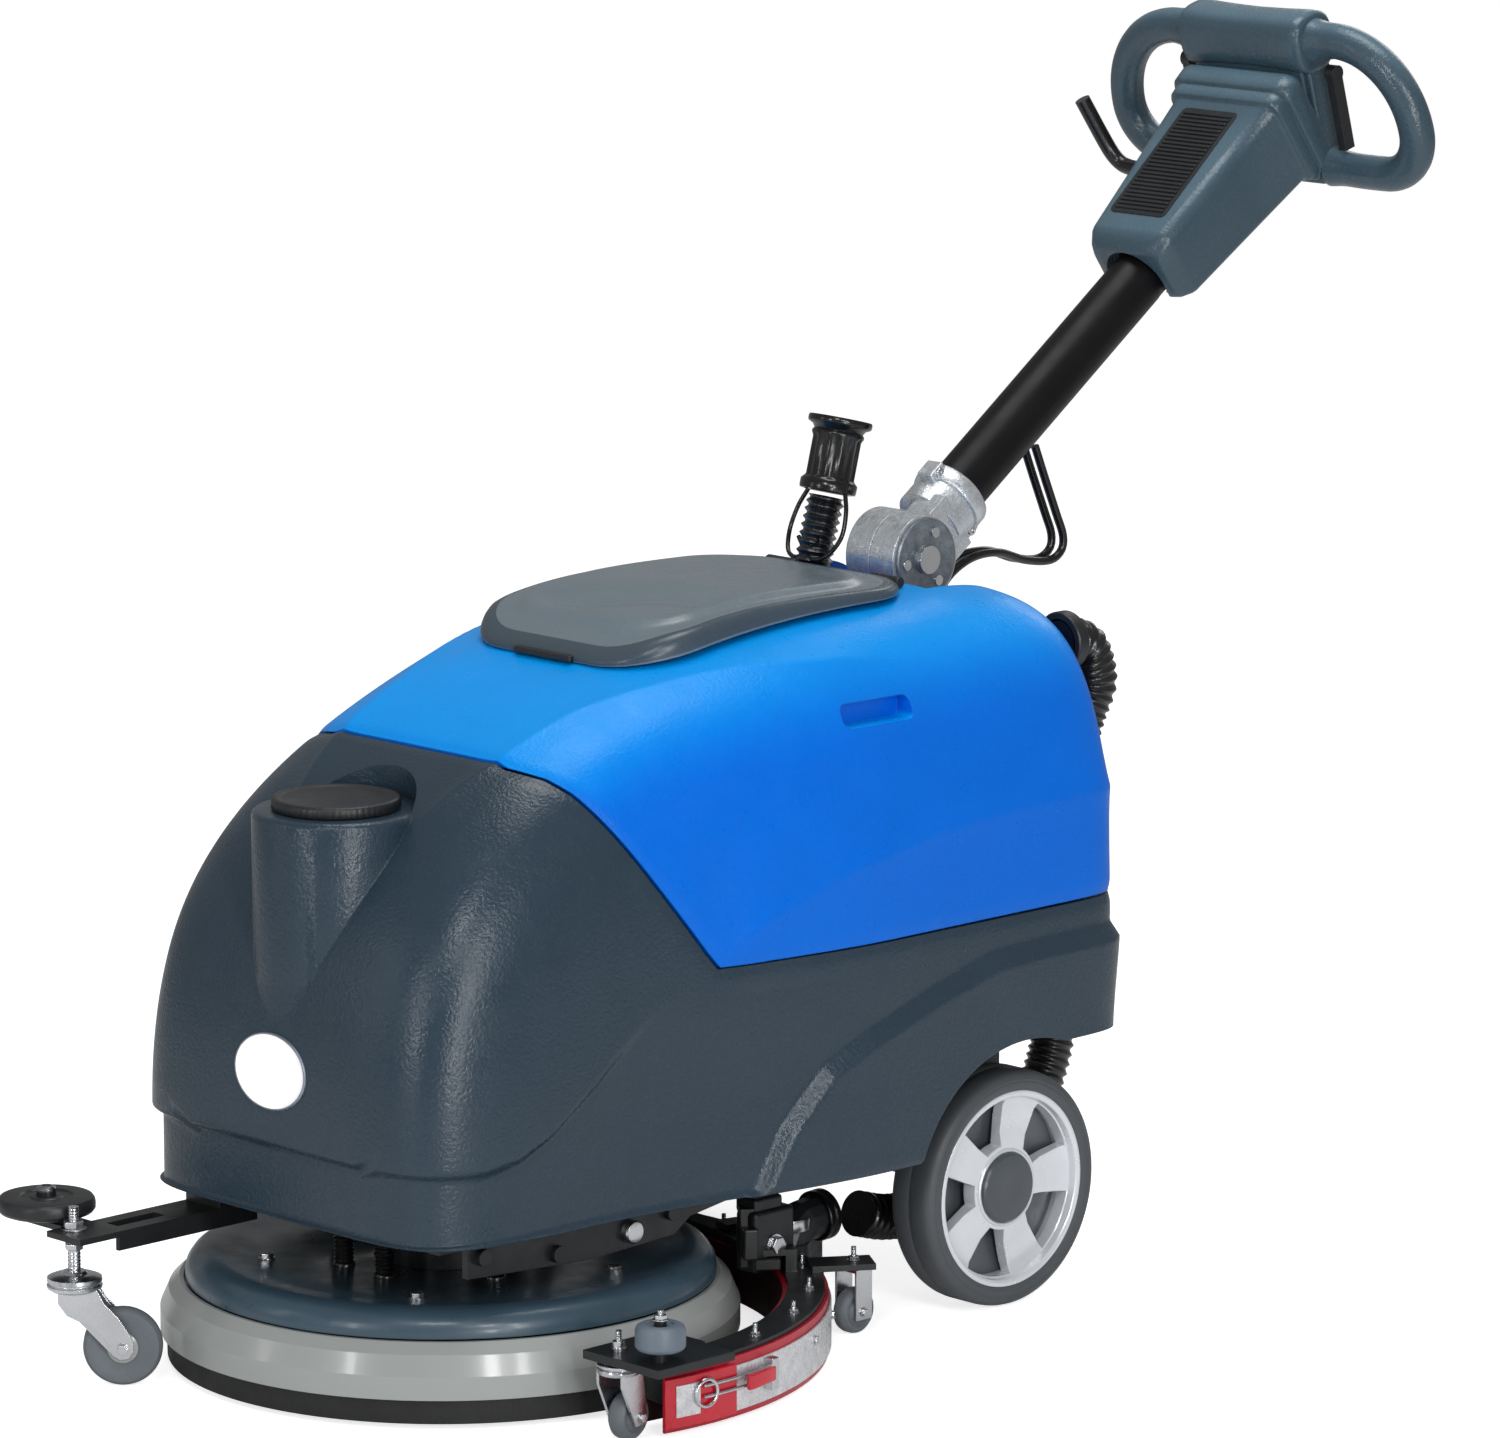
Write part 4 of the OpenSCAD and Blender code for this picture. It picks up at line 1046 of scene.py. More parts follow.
def build_vent():
    """The dark recessed grille on the head's upper face."""
    place = HANDLE @ Matrix.Translation((-2.5, 452, 51.2)) @ Matrix.Rotation(math.radians(5.1), 4, "X")
    half_x, half_u = 32.0, 63.0
    base = rounded_outline(-half_x, half_x, -half_u, half_u, 5.0, 5)
    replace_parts(plate("vent_back", base, 1.6, BLACK, "handle", place @ Matrix.Translation((0, 0, -0.9)),
                      0.4), "vent_panel")
    slats = 26
    for k in range(slats):
        u = -half_u + 6 + (2 * half_u - 12) * k / (slats - 1)
        block(f"vent_slat_{k}", (-half_x + 4, u - 1.4, 0.5), (half_x - 4, u + 1.4, 2.0), BLACK, "handle",
              0.5, place)


def build_handle():
    build_head()
    build_vent()
    # near and far face plates of the knuckle, and the split collar on the tube
    for side, name in ((1, "left"), (-1, "right")):
        x = side * 28.2
        lathe("knuckle_face_" + name, [(0, 0), (34, 0), (35, 0.8), (35, 2.0), (33.5, 3.2),
              (30, 3.4), (27, 2.2), (13, 2.2), (12.5, 4.0), (0, 4.0)], CAST_DARK,
              KNUCKLE + Vector((x, 0, 0)), (side, 0, 0), "handle" if side > 0 else "chassis", 96)
    lathe("tube_collar", [(25.4, 0), (31, 0), (33, 1.5), (33.6, 4), (33.6, 13), (32.4, 16),
                          (29, 18), (25.4, 18)], CAST, at_handle(0, 64, 0),
          handle_dir(0, 1, 0), "handle", 72, wave=lambda a, r, h: 0.25 * math.sin(5 * a + r))
    for n, name in ((-1, "low"), (1, "high")):
        place = HANDLE @ Matrix.Translation((0, 66, n * 33))
        block("collar_lug_" + name, (-9, -6, -5), (9, 12, 5), CAST, "handle", 2.0, place, 3)
        socket_screw("collar_screw_" + name, at_handle(9, 69, n * 33), handle_dir(1, 0, 0), 4.6,
                     "handle")
    # control cables, loose between the tube and the rear of the tank
    line = [(118, 500), (122, 535), (132, 567), (160, 585), (196, 587), (232, 576), (262, 572),
            (276, 579), (278, 592), (270, 612), (256, 645), (244, 673.5)]
    for x in (-7, 7):
        name = "left" if x > 0 else "right"
        cable = tube("control_cable_" + name, [(x + 1.5 * math.sin(y / 22), y, z) for y, z in line],
                     3.7, BLACK_GLOSS, None, 12, 4.0)
        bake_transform(cable)
        if x > 0:
            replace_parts(cable, "control_cables")
    hook = [(-50, 458, 33), (-66, 459, 31), (-80, 461, 32), (-89, 463, 40), (-95, 466, 56),
            (-104, 472, 95)]
    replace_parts(tube("cable_hook_rod", [tuple(at_handle(*p)) for p in hook], 7.0, BLACK_GLOSS,
                     "handle", 16, 2.5), "cable_hook")


# ------------------------------------------------------------------ rear wheels
def build_wheel(side, name):
    body = "wheel_" + name
    face = side * hi("tyre_left", 0)
    width = hi("tyre_left", 0) - lo("tyre_left", 0)
    hub = (face, 0, axle_z)
    out = (side, 0, 0)
    w = width
    tyre = lathe("tyre_" + name + "_mould", [
        (83.2, -3), (86, -1.5), (90, -0.8), (91.5, -1.6), (92.5, -1.2), (95.5, -2.4), (98.4, -5),
        (tyre_r - 0.4, -8.5), (tyre_r, -12), (tyre_r, -w / 2 + 1), (tyre_r - 0.7, -w / 2),
        (tyre_r, -w / 2 - 1), (tyre_r, 12 - w), (tyre_r - 0.4, 8.5 - w), (98.4, 5 - w), (95.5, 2.4 - w),
        (86, 1.5 - w), (83.2, 3 - w), (83.2, -3)], TYRE, hub, out, body, 128, 40)
    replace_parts(tyre, "tyre_" + name)
    profile = [(10.6, -12), (27, -12), (30, -11), (34, -10.5), (48, -14), (70, -13), (76.5, -10),
               (77.6, -4.2), (79, -3), (81, -2.6), (83.0, -3.2), (83.1, -6), (83.1, -44), (81, -46),
               (78, -46), (77.5, -30), (77, -22), (60, -24), (34, -24), (24, -30), (24, -46),
               (10.6, -46), (10.6, -12)]
    rim = lathe("rim_" + name + "_cast", profile, SILVER, hub, out, None, 144, 35)
    for k in range(5):
        apply_cuts(rim, [("DIFFERENCE", cut_window(hub, 57 + 72 * k + (0 if side > 0 else 180)))])
    tidy_mesh(rim, 35)
    rim.data.materials.clear()
    rim.data.materials.append(SILVER)
    bevelled(rim, 1.0, 2, 38)
    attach(rim, body)
    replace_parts(rim, "rim_" + name)
    lathe("rim_" + name + "_web", [(27, -33), (50, -30), (76.5, -27), (76.5, -30), (50, -34), (27, -37),
          (27, -33)], SILVER_DARK, hub, out, body, 96)
    cap = lathe("hub_" + name + "_cover", [(0, -13), (28, -13), (29.6, -12), (30, -9), (29.4, -7),
                (27.5, -5.4), (22, -4.6), (12, -4.2), (9, -4.6), (0, -4.8)], HUB_GREY, hub, out,
                body, 72)
    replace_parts(cap, "hub_cap_" + name)
    lathe("hub_" + name + "_ring", [(30.2, -11.5), (33, -11.5), (33, -9.4), (31.6, -8.4),
          (30.2, -9)], SILVER, hub, out, body, 72)


def cut_window(hub, degrees):
    """One wedge-shaped opening between two spokes."""
    pts = []
    for radius, half, turn in ((36, 14.0, -1), (75.5, 20.5, 1)):
        for k in range(9):
            a = math.radians(turn * half * (k / 4 - 1))
            pts.append((radius * math.cos(a), radius * math.sin(a)))
    n = len(pts)
    place = (Matrix.Translation(hub) @ Matrix.Rotation(math.radians(degrees), 4, "X")
             @ Matrix.Rotation(math.radians(90), 4, "Y"))
    verts = [place @ Vector((x, y, h)) for h in (-60, 60) for x, y in pts]
    faces = [tuple(reversed(range(n))), tuple(range(n, 2 * n))]
    faces += [(k, (k + 1) % n, n + (k + 1) % n, n + k) for k in range(n)]
    return cutter(verts, faces)


# ------------------------------------------------------------------ brush deck
def build_deck():
    centre = (0, deck_y, 0)
    for k in range(5):
        a = math.radians(20 + 72 * k)
        spot = (150 * math.cos(a), deck_y + 150 * math.sin(a), 85)
        bolt(f"deck_bolt_{k}", spot, (0, 0, 1), 6, "deck")
    # spring towers between the deck and the frame plate
    for k, deg in enumerate((-20, 200, 90, -75, -105)):
        a = math.radians(deg)
        spot = (96 * math.cos(a), deck_y + 96 * math.sin(a), 84)
        profile = [(0, 0), (9, 0), (9, 3)]
        for j in range(8):
            profile += [(8.4, 4 + 3.4 * j), (7.0, 5.7 + 3.4 * j)]
        profile += [(9, 31), (9, 34), (0, 34)]
        lathe(f"deck_spring_{k}", profile, BLACK_GLOSS, spot, (0, 0, 1), "deck", 24, 60)
    profile = [(62, 79.2), (62, 83), (64, 84.6), (160, 85), (176, 87), (188, 90), (197, 90.6), (205, 89),
               (211, 85), (214.8, 79.5), (216, 73.5), (216, 69.4), (214.6, 68.8), (205, 68.8), (203.4, 70), (203.4, 76),
               (200, 79.2), (62, 79.2)]
    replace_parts(lathe("deck_dome", profile, DECK_BLUE, (0, deck_y, 0), (0, 0, 1), "deck", 200, 40,
                      wave=lambda a, r, h: 0.7 * math.sin(3 * a + 0.8) * (r > 180)), "deck_plate")
    # brush tufts in rings
    verts, faces = [], []
    rings = ((80, 52), (100, 66), (120, 78), (140, 92), (160, 104), (180, 116), (196, 126))
    for row, (radius, count) in enumerate(rings):
        for k in range(count):
            a = 2 * math.pi * (k + 0.5 * (row % 2)) / count
            lean = 1.0 + 0.05 * (radius - 70) / 130
            jitter = noise(Vector((radius, k * 0.7, 3.1)))
            base = len(verts)
            for r, h, w in ((radius, 29.5, 2.0), (radius * lean, 1.2 + abs(jitter), 3.0)):
                for j in range(5):
                    b = 2 * math.pi * j / 5
                    verts.append((r * math.cos(a) + w * math.cos(b),
                                  deck_y + r * math.sin(a) + w * math.sin(b) + jitter, h))
            for j in range(5):
                faces.append((base + j, base + (j + 1) % 5, base + 5 + (j + 1) % 5, base + 5 + j))
            faces.append(tuple(base + j for j in reversed(range(5))))
            faces.append(tuple(base + 5 + j for j in range(5)))
    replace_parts(piece("brush_tufts", verts, faces, BRISTLE, "brush", 50), "brush_bristles")
    # a fringe of short bristles hanging from the splash ring
    verts, faces = [], []
    count = 260
    for k in range(count):
        a = 2 * math.pi * k / count
        c, s = math.cos(a), math.sin(a)
        base = len(verts)
        for r0, r1, h, half in ((226, 231, 24.6, 2.9), (227, 230.5, 4.6 + 0.8 * noise(Vector((k, 0, 1))), 2.85)):
            for r in (r0, r1):
                for t in (-half, half):
                    verts.append((r * c - t * s, deck_y + r * s + t * c, h))
        for f in ((0, 1, 3, 2), (4, 6, 7, 5), (0, 4, 5, 1), (2, 3, 7, 6), (0, 2, 6, 4), (1, 5, 7, 3)):
            faces.append(tuple(base + v for v in f))
    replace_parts(piece("skirt_fringe", verts, faces, RUBBER, "deck", 40), "deck_skirt")


# ------------------------------------------------------------------ squeegee
AIM = math.degrees(math.atan2(*reversed((Vector(((lo("rear_forks", 0) + hi("rear_forks", 0)) / 2,
      (lo("rear_forks", 1) + hi("rear_forks", 1)) / 2 - deck_y))).to_tuple())))
NEAR_CASTER = joint_at("swivel_left")
FAR_CASTER = joint_at("swivel_right")
NEAR_ROLLER = joint_at("roller_spin_left")
FAR_ROLLER = joint_at("roller_spin_right")


def round_deck(r, degrees, z):
    a = math.radians(degrees)
    return Vector((r * math.cos(a), deck_y + r * math.sin(a), z))


BLADE_R = 308.0
BLADE_FROM = -9.0
BLADE_TO = 141.0


def arc_strip(name, r0, r1, z0, z1, a0, a1, mat, body="squeegee", steps=120, slots=0, wave=0.0):
    """A curved strip round the brush centre, whose lower edge `wave` can ripple softly."""
    verts, faces, rings = [], [], []
    for k in range(steps + 1):
        a = a0 + (a1 - a0) * k / steps
        dip = wave * math.sin(k * 0.9) if wave else 0.0
        ring = [round_deck(r0, a, z0 + dip), round_deck(r1, a, z0 + dip), round_deck(r1, a, z1),
                round_deck(r0, a, z1)]
        rings.append(list(range(len(verts), len(verts) + 4)))
        verts += ring
    for low, high in zip(rings, rings[1:]):
        join_rings(faces, low, high)
    faces += [tuple(reversed(rings[0])), tuple(rings[-1])]
    return bevelled(piece(name, verts, faces, mat, body, 35), 0.5)


def build_squeegee():
    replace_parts(arc_strip("blade_strap_band", BLADE_R + 0.3, BLADE_R + 2.2, 8, 45,
                          BLADE_FROM + 4, BLADE_TO - 4, STRAP), "blade_strap")
    arc_strip("front_blade_rim", 270.2, 274.6, 49, 52.8, BLADE_FROM, BLADE_TO, RED_BLADE)
    arc_strip("end_plate_inset", BLADE_R + 6.1, BLADE_R + 6.9, 16, 42, BLADE_FROM + 1.2, BLADE_FROM + 5.6,
              STRAP, steps=6)
    for k in range(9):
        a = 14 + 14.5 * k
        spot = round_deck(BLADE_R + 2.0, a, 35)
        bolt(f"strap_bolt_{k}", spot, spot - Vector((0, deck_y, 35)), 3.6, "squeegee")
        wing = round_deck(292, a, 56)
        bolt(f"channel_bolt_{k}", wing, (0, 0, 1), 4.2, "squeegee", stud=7)
    # red end plates that clamp the strap, and the wire latch at the near end
    for a0, a1, name in ((BLADE_FROM - 0.6, BLADE_FROM + 13, "near"),
                         (BLADE_TO - 5.5, BLADE_TO + 0.6, "far")):
        arc_strip("end_plate_" + name, BLADE_R + 2.4, BLADE_R + 6, 7.5, 48, a0, a1, RED, steps=12)
    for z in (29, 38):
        pts = [round_deck(BLADE_R + 8.0, a, z) for a in (-3.0, 0, 4, 8.5, 11.5)]
        tube(f"latch_wire_{z}", pts, 1.5, ZINC, "squeegee", 10, 2.0)
    eye = [round_deck(BLADE_R + 8.5, -2.5 + 2.0 * math.cos(t), 32 + 11 * math.sin(t))
           for t in [2 * math.pi * k / 24 for k in range(24)]]
    sweep("latch_eye", eye, lambda i, n: circle(1.6, 10), ZINC, "squeegee", 60, closed=True)
    latch = joint_at("latch_release")
    lever = HANDLE_FREE(latch)
    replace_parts(lever, "strap_latch")
    for at, name in ((NEAR_ROLLER, "left"), (FAR_ROLLER, "right")):
        z0 = 82
        obj = lathe(f"bumper_{name}_wheel", [(5.2, 0), (16, 0), (18.5, 1.2), (20, 3.4), (20, 16.5),
                    (18.6, 19.6), (16, 21), (11, 21), (10, 19.4), (5.2, 19.4), (5.2, 0)], ROLLER,
                    (at.x, at.y, z0), (0, 0, 1), "roller_" + name, 64)
        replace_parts(obj, "side_roller_" + name)
        bolt(f"bumper_{name}_bolt", (at.x, at.y, 106), (0, 0, 1), 5.5, "squeegee", stud=4)
    for at, name in ((NEAR_CASTER, "near"), (FAR_CASTER, "far")):
        bolt(f"end_caster_{name}_nut", (at.x, at.y, 76.2), (0, 0, 1), 5.4, "squeegee", stud=10)
        bolt(f"end_caster_{name}_low_nut", (at.x + 14, at.y + 34, 73), (0, 0, 1), 4.6, "squeegee", stud=6)
    # ribbed sleeve over the hose neck, and the clamp band
    neck = round_deck(291, AIM, 60)
    lathe("neck_band", [(20.2, 0), (20.8, 0), (21.2, 1), (21.2, 9), (20.8, 10), (20.2, 10), (20.2, 0)], ZINC,
          neck + Vector((0, 0, 18)), (0, 0, 1), "squeegee", 48)
    elbow_end = neck + Vector((0, 44, 22))
    lathe("elbow_cuff", [(18.2, -12), (20.6, -12), (21.4, -11), (21.4, -7), (20.4, -6), (20.4, -5), (21.4, -4),
          (21.4, 0), (20.6, 1), (18.2, 1), (18.2, -12)], BLACK_GLOSS, elbow_end, (0, 1, 0.05), "squeegee", 48)
    # black box that the squeegee hangs from, with its bolt
    block("carrier_box_side", (128, -232, 56), (152, -186, 108), STEEL_BLACK, "squeegee_mount", 4.0)
    block("carrier_box_lid", (124, -228, 104), (148, -196, 118), STEEL_BLACK, "squeegee_mount", 3.0)
    bolt("carrier_side_bolt", (152.2, -210, 78), (1, 0, 0), 8.0, "squeegee_mount")
    # pivot bracket of the squeegee carrier, with its bolt
    for s, name in ((56, "near"), (124, "far")):
        p = round_deck(246, s, 0)
        place = Matrix.Translation(p) @ Matrix.Rotation(math.radians(s), 4, "Z")
        block(f"carrier_box_{name}", (-7, -20, 69.5), (5.5, 20, 96), STEEL_BLACK, "squeegee_mount", 2.0,
              place, 3)
        bolt(f"carrier_bolt_{name}", place @ Vector((5.6, 0, 84)), place.to_3x3() @ Vector((1, 0, 0)),
             6.5, "squeegee_mount")


def HANDLE_FREE(latch):
    """The red over-centre lever beside the latch pivot."""
    place = Matrix.Translation((latch.x, latch.y, 0)) @ Matrix.Rotation(math.radians(12), 4, "Z")
    outline = [(-4, -4), (4, -4), (5.2, 0), (4.6, 4.2), (0, 5.4), (-3.8, 4), (-4.4, 0)]
    low = plate("latch_post", outline, 26, ZINC, "latch", place @ Matrix.Translation((0, 0, 18)), 0.8)
    arm = [(0.6, -36), (4.6, -38), (6.2, -34), (5.6, -4), (4.5, 2), (0.4, 2)]
    plate("latch_lever", arm, 12, RED, "latch", place @ Matrix.Translation((0, 0, 26)), 1.0)
    return low


# ------------------------------------------------------------------ casters and front arm
def caster_wheel(name, node, joint, axle, radius, half, body, hub_mat=None):
    at = joint_at(joint)
    r, w = radius, half
    obj = lathe(name, [(3.2, -w), (8, -w), (9, -w + 1.2), (10, -w + 2), (r * 0.62, -w + 2.4),
                (r * 0.7, -w + 1.4), (r - 3, -w + 1.6), (r - 0.6, -w + 4), (r, -w + 6.2),
                (r, w - 6.2), (r - 0.6, w - 4), (r - 3, w - 1.6), (r * 0.7, w - 1.4),
                (r * 0.62, w - 2.4), (10, w - 2), (9, w - 1.2), (8, w), (3.2, w), (3.2, -w)],
                CASTER, at, axle, body, 72, 35)
    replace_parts(obj, node)


def build_casters():
    front = joint_at("swivel_front")
    for joint, node, name, radius in (("caster_spin_front", "front_caster", "front", 32),
                                      ("caster_spin_left", "left_caster", "left", 19),
                                      ("caster_spin_right", "right_caster", "right", 19)):
        axle = Vector(JOINTS[joint]["axis"])
        caster_wheel(f"caster_{name}_wheel", node, joint, axle, radius, 9.4, "caster_" + name)
        at = joint_at(joint)
        for s in (-1, 1):
            bolt(f"axle_nut_{name}_{'a' if s > 0 else 'b'}", at + axle * s * 13.2, axle * s,
                 4.6 if radius > 25 else 3.8, "fork_" + name)
        top = hi(name + "_fork", 2) - (42 if name == "front" else 16)
        stem = joint_at("swivel_" + name)
        # swivel head: two pressed races with the balls' crimped skirt between
        lathe(f"swivel_head_{name}", [(5.4, -9), (13, -9), (16.5, -7.6), (18, -5), (17.4, -3.4), (15.5, -2.8),
              (15.5, -2), (17.6, -1.4), (17.6, 0.4), (14, 2.2), (9, 3.4), (7.6, 6), (5.4, 6), (5.4, -9)],
              ZINC, (stem.x, stem.y, top - 2.2), (0, 0, 1), "fork_" + name, 56)
    for joint, node in (("caster_spin_rear_left", "rear_caster_left"),
                        ("caster_spin_rear_right", "rear_caster_right")):
        name = node.rsplit("_", 1)[1]
        caster_wheel(f"caster_rear_{name}_wheel", node, joint, Vector((1, 0, 0)), 19, 8.9,
                     "caster_rear_" + name)
        at = joint_at(joint)
        for s in (-1, 1):
            bolt(f"rear_nut_{name}_{'a' if s > 0 else 'b'}", at + Vector((s * 12.8, 0, 0)), (s, 0, 0), 3.6,
                 "squeegee")
        bolt(f"rear_stem_{name}", (at.x, at.y, 61.2), (0, 0, 1), 4.6, "squeegee", stud=8)
    lathe("skirt_pivot_cap", [(0, -3), (9, -3), (9.6, -1.5), (9.6, 3), (8.4, 4.6), (5, 5.2), (0, 5.2)],
          ZINC, (168, -385, 124), (1, 0, 0), "chassis", 48)
    # front arm: caster stem with its nuts, and the bumper roller
    bolt("front_stem_nut", (front.x, front.y, 128.2), (0, 0, 1), 9, "chassis", stud=12)
    lathe("front_stem_thread", [(0, 0)] + [(4.9 if k % 2 else 5.4, 1.5 * k) for k in range(20)]
          + [(0, 29)], ZINC, (front.x, front.y, 90.5), (0, 0, 1), "fork_front", 24)
    bolt("front_stem_low_nut", (front.x, front.y, 112), (0, 0, 1), 8, "fork_front", washer=False)
    axle_at = joint_at("caster_spin_front")
    lead = (Vector((axle_at.x, axle_at.y, 0)) - Vector((front.x, front.y, 0)))
    turn = math.atan2(lead.y, lead.x)
    for side in (-1, 1):
        place = (Matrix.Translation((front.x, front.y, 0)) @ Matrix.Rotation(turn, 4, "Z")
                 @ Matrix.Translation((0, side * 12.6, 0)) @ Matrix.Rotation(math.radians(90), 4, "X"))
        wing = [(-13, 82), (-13, 70), (-6, 60), (10, 52), (24, 40), (30, 27), (36, 23), (43, 24), (47, 30),
                (47, 37), (42, 47), (35, 58), (24, 70), (18, 82)]
        plate(f"front_wing_{'a' if side > 0 else 'b'}", wing, 1.6, ZINC, "fork_front",
              place @ Matrix.Translation((0, 0, -0.8)), 0.6)
    lathe("front_race", [(5.4, -6), (19, -6), (22, -4), (22.6, -1.5), (20.6, 0), (20.6, 1), (22.4, 2), (22, 5),
          (17, 7), (11, 7.6), (9, 10), (5.4, 10), (5.4, -6)], ZINC, (front.x, front.y, 84.5), (0, 0, 1),
          "fork_front", 64)
    lathe("front_caster_hub", [(0, -9.9), (11, -9.9), (12.5, -9.2), (12.5, 9.2), (11, 9.9), (0, 9.9)], RING_GREY,
          axle_at, Vector(JOINTS["caster_spin_front"]["axis"]), "caster_front", 40)
    roller = joint_at("roller_spin_front")
    obj = lathe("front_bumper_wheel", [(8.2, 131), (34, 131), (37.5, 132.4), (39.5, 135), (39.7, 138.5),
                (39.3, 142), (37.5, 144.6), (34, 145.6), (22, 145.6), (20.5, 144.2), (14, 144.2),
                (12.5, 145.4), (8.2, 145.4), (8.2, 131)], BLACK, (roller.x, roller.y, 0), (0, 0, 1),
                "roller_front", 96)
    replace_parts(obj, "front_roller")
    socket_screw("front_bumper_screw", (roller.x, roller.y, 149.1), (0, 0, 1), 8, "chassis", STEEL)


# ------------------------------------------------------------------ CAD nodes that stay
KEPT = {"chassis_frame": (STEEL_BLACK, 0.8), "rear_axle": (STEEL, 0.0), "battery_pack": (BLACK, 3.0),
        "knuckle_base": (CAST, 2.0), "knuckle_yoke": (CAST, 2.0), "knuckle_screws": (ZINC, 0.0),
        "vacuum_motor": (CAST_DARK, 1.5), "front_arm": (STEEL_BLACK, 0.9), "frame_bolts": (STEEL_BLACK, 1.4),
        "handle_tube": (TUBE_BLACK, 0.0),
        "switch_lever_left": (BLACK, 2.0), "switch_lever_right": (BLACK, 2.0),
        "key_switch": (ZINC, 0.5), "rocker_switch": (RED, 1.2), "lid_seal": (RUBBER, 0.8),
        "splash_ring": (RING_GREY, 1.6),
        "gearmotor": (STEEL_BLACK, 1.5), "brush_block": (BLACK, 1.0), "clutch_plate": (ZINC, 0.6),
        # the front blade takes the dark copy of the blade red: painted shade
        "squeegee_body": (STEEL_BLACK, 1.0), "front_blade": (BLADE_INNER_SHADE, 0.4),
        "rear_blade": (RED_BLADE, 0.4), "front_fork": (ZINC, 0.7),
        "left_fork": (ZINC, 0.6), "right_fork": (ZINC, 0.6), "rear_forks": (ZINC, 0.6),
        "squeegee_carrier": (STEEL_BLACK, 0.8)}


def dress_nodes():
    for node, (mat, width) in KEPT.items():
        obj = frame["nodes"][node]
        obj.data.materials.clear()
        obj.data.materials.append(mat)
        if width:
            bevelled(obj, width, 2, 38)


build_lid()
build_badge()
build_cap()
build_hoses()
build_handle()
for wheel_side, wheel_name in ((1, "left"), (-1, "right")):
    build_wheel(wheel_side, wheel_name)
build_deck()
build_squeegee()
build_casters()
dress_nodes()


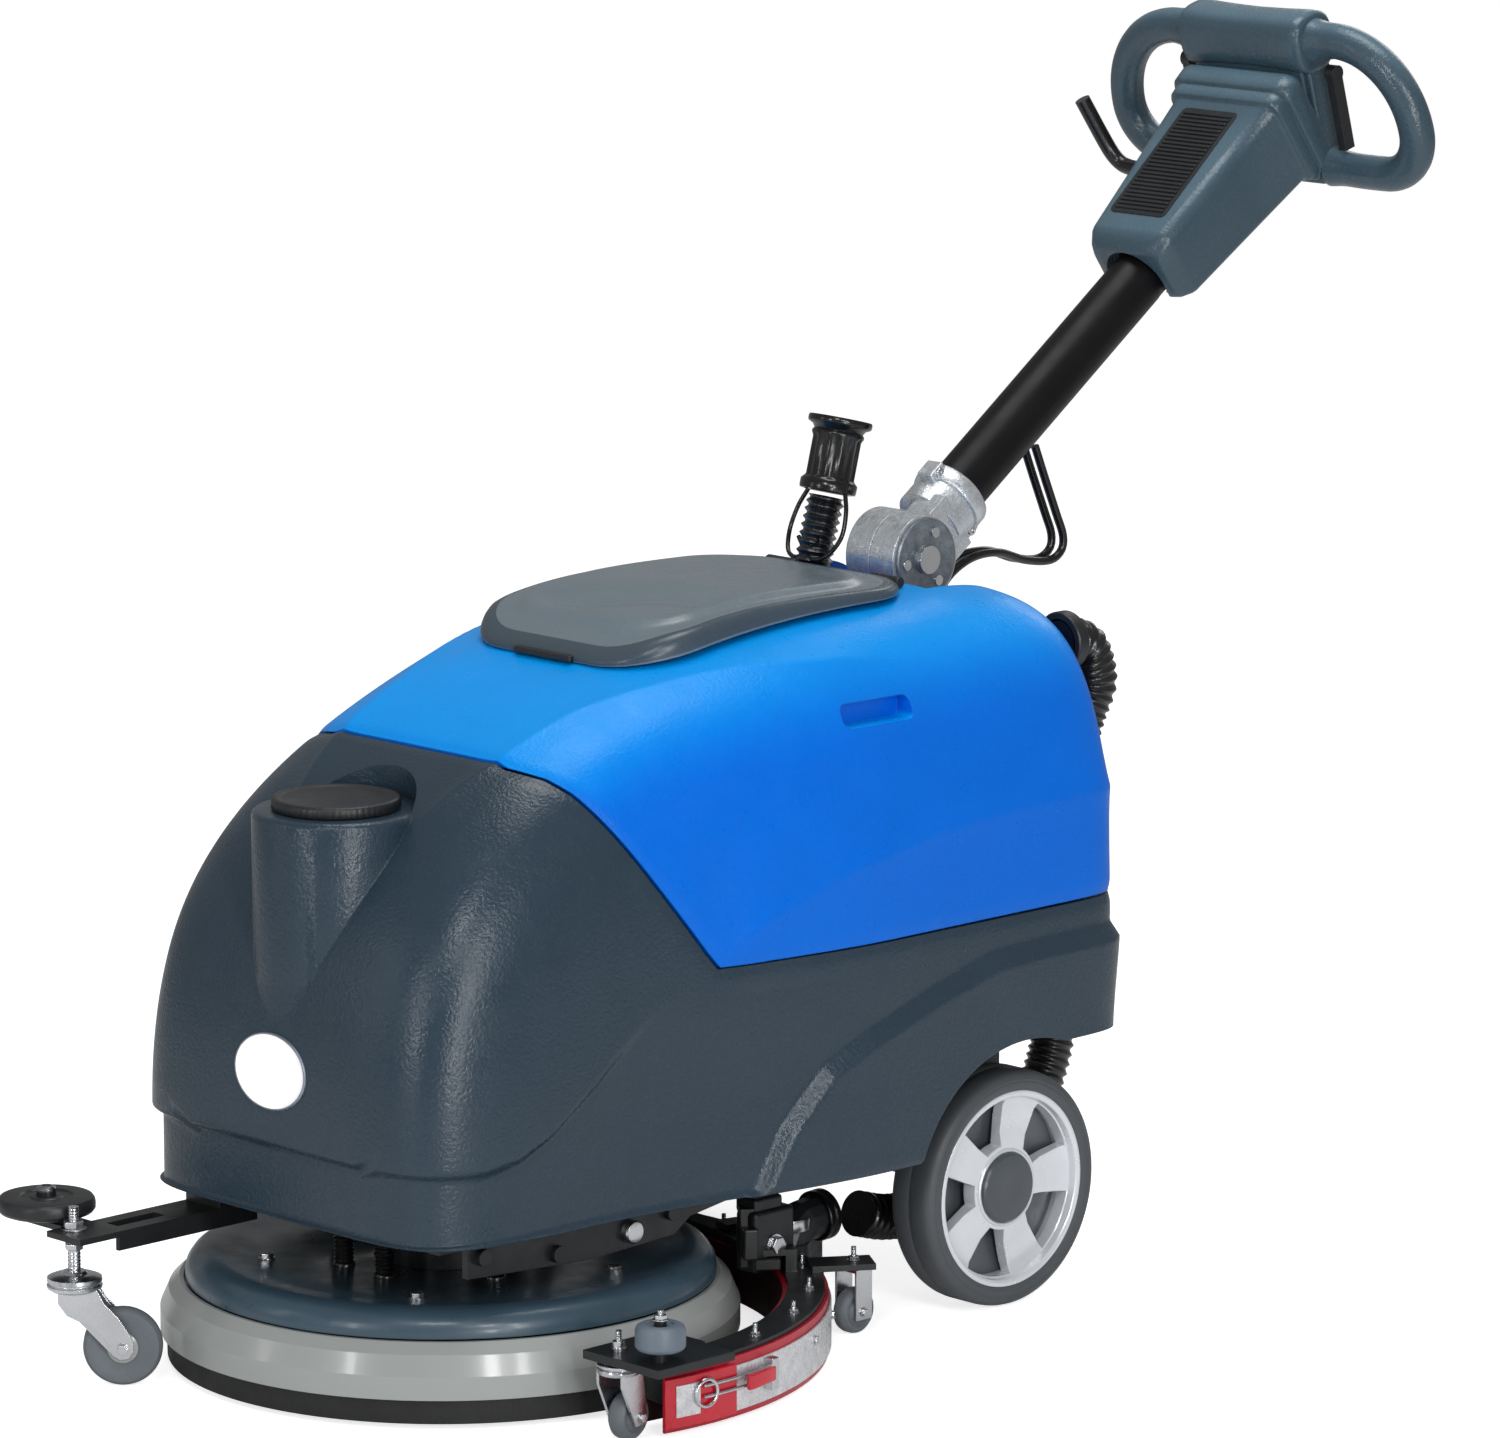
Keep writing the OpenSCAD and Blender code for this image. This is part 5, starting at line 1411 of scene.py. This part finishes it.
# ------------------------------------------------------------------ floor, light and camera
def studio():
    bpy.ops.mesh.primitive_plane_add(size=60, location=(0, 0, -0.0005))
    floor = bpy.context.object
    floor.name = "floor"
    pale = bpy.data.materials.new("floor_pale")
    pale.use_nodes = True
    nt = pale.node_tree
    speck = nt.nodes.new("ShaderNodeTexNoise")
    speck.inputs["Scale"].default_value = 3.0
    ramp = nt.nodes.new("ShaderNodeMapRange")
    ramp.inputs["To Min"].default_value = 0.93
    ramp.inputs["To Max"].default_value = 0.96
    nt.links.new(speck.outputs["Fac"], ramp.inputs["Value"])
    bsdf = nt.nodes["Principled BSDF"]
    nt.links.new(ramp.outputs["Result"], bsdf.inputs["Base Color"])
    bsdf.inputs["Roughness"].default_value = 0.7
    # a lit sweep: the camera sees the floor and the backdrop near white
    glow = nt.nodes.new("ShaderNodeEmission")
    seen = nt.nodes.new("ShaderNodeLightPath")
    level = nt.nodes.new("ShaderNodeMath")
    level.operation = "MULTIPLY"
    level.inputs[1].default_value = 0.75
    nt.links.new(seen.outputs["Is Camera Ray"], level.inputs[0])
    nt.links.new(level.outputs[0], glow.inputs["Strength"])
    both = nt.nodes.new("ShaderNodeAddShader")
    nt.links.new(bsdf.outputs[0], both.inputs[0])
    nt.links.new(glow.outputs[0], both.inputs[1])
    nt.links.new(both.outputs[0], nt.nodes["Material Output"].inputs["Surface"])
    floor.data.materials.append(pale)

    world = bpy.data.worlds.new("studio")
    bpy.context.scene.world = world
    world.use_nodes = True
    wt = world.node_tree
    path = wt.nodes.new("ShaderNodeLightPath")
    strength = wt.nodes.new("ShaderNodeMapRange")
    strength.inputs["To Min"].default_value = 0.27
    strength.inputs["To Max"].default_value = 1.25
    wt.links.new(path.outputs["Is Camera Ray"], strength.inputs["Value"])
    wt.links.new(strength.outputs["Result"], wt.nodes["Background"].inputs["Strength"])
    wt.nodes["Background"].inputs["Color"].default_value = (1, 1, 1, 1)

    def softbox(name, where, at, width, height, power):
        data = bpy.data.lights.new(name, "AREA")
        data.shape = "RECTANGLE"
        data.size, data.size_y, data.energy = width, height, power
        lamp = bpy.data.objects.new(name, data)
        lamp.location = where
        lamp.rotation_mode = "QUATERNION"
        lamp.rotation_quaternion = (Vector(at) - Vector(where)).to_track_quat("-Z", "Y")
        bpy.context.collection.objects.link(lamp)
    softbox("key", (1.6, -2.2, 2.6), (0, -0.3, 0.3), 0.6, 0.6, 17)
    softbox("side", (4.2, -1.3, 1.6), (0, -0.3, 0.35), 0.25, 1.7, 34)
    softbox("front", (0.5, -4.6, 1.5), (0, -0.4, 0.35), 0.22, 1.6, 26)
    softbox("low", (3.9, -2.1, 0.4), (0.2, -0.3, 0.15), 0.3, 0.9, 26)
    softbox("near", (3.7, -2.1, 2.4), (0, -0.2, 0.3), 0.4, 0.8, 24)
    softbox("front_left", (-1.6, -3.0, 1.3), (0, -0.4, 0.3), 0.3, 1.6, 4)
    softbox("top", (0.0, 0.2, 3.0), (0, -0.2, 0.4), 1.6, 1.2, 27)
    softbox("back", (-1.0, 2.8, 2.0), (0, 0, 0.4), 1.6, 1.2, 12)


AZIMUTH = math.radians(45.93)
ELEVATION = math.radians(10.94)


def camera():
    data = bpy.data.cameras.new("camera")
    data.sensor_width, data.lens = 36.0, 187.34
    data.clip_end = 100.0
    cam = bpy.data.objects.new("camera", data)
    bpy.context.collection.objects.link(cam)
    back = Vector((math.sin(AZIMUTH) * math.cos(ELEVATION),
                   -math.cos(AZIMUTH) * math.cos(ELEVATION), math.sin(ELEVATION)))
    aim = AXLE + Vector((0.0229, -0.1129, 0.4855))
    cam.location = aim + back * 6.4734
    cam.rotation_mode = "QUATERNION"
    cam.rotation_quaternion = (-back).to_track_quat("-Z", "Y")
    bpy.context.scene.camera = cam
    bpy.context.scene.view_settings.view_transform = "Standard"


studio()
camera()
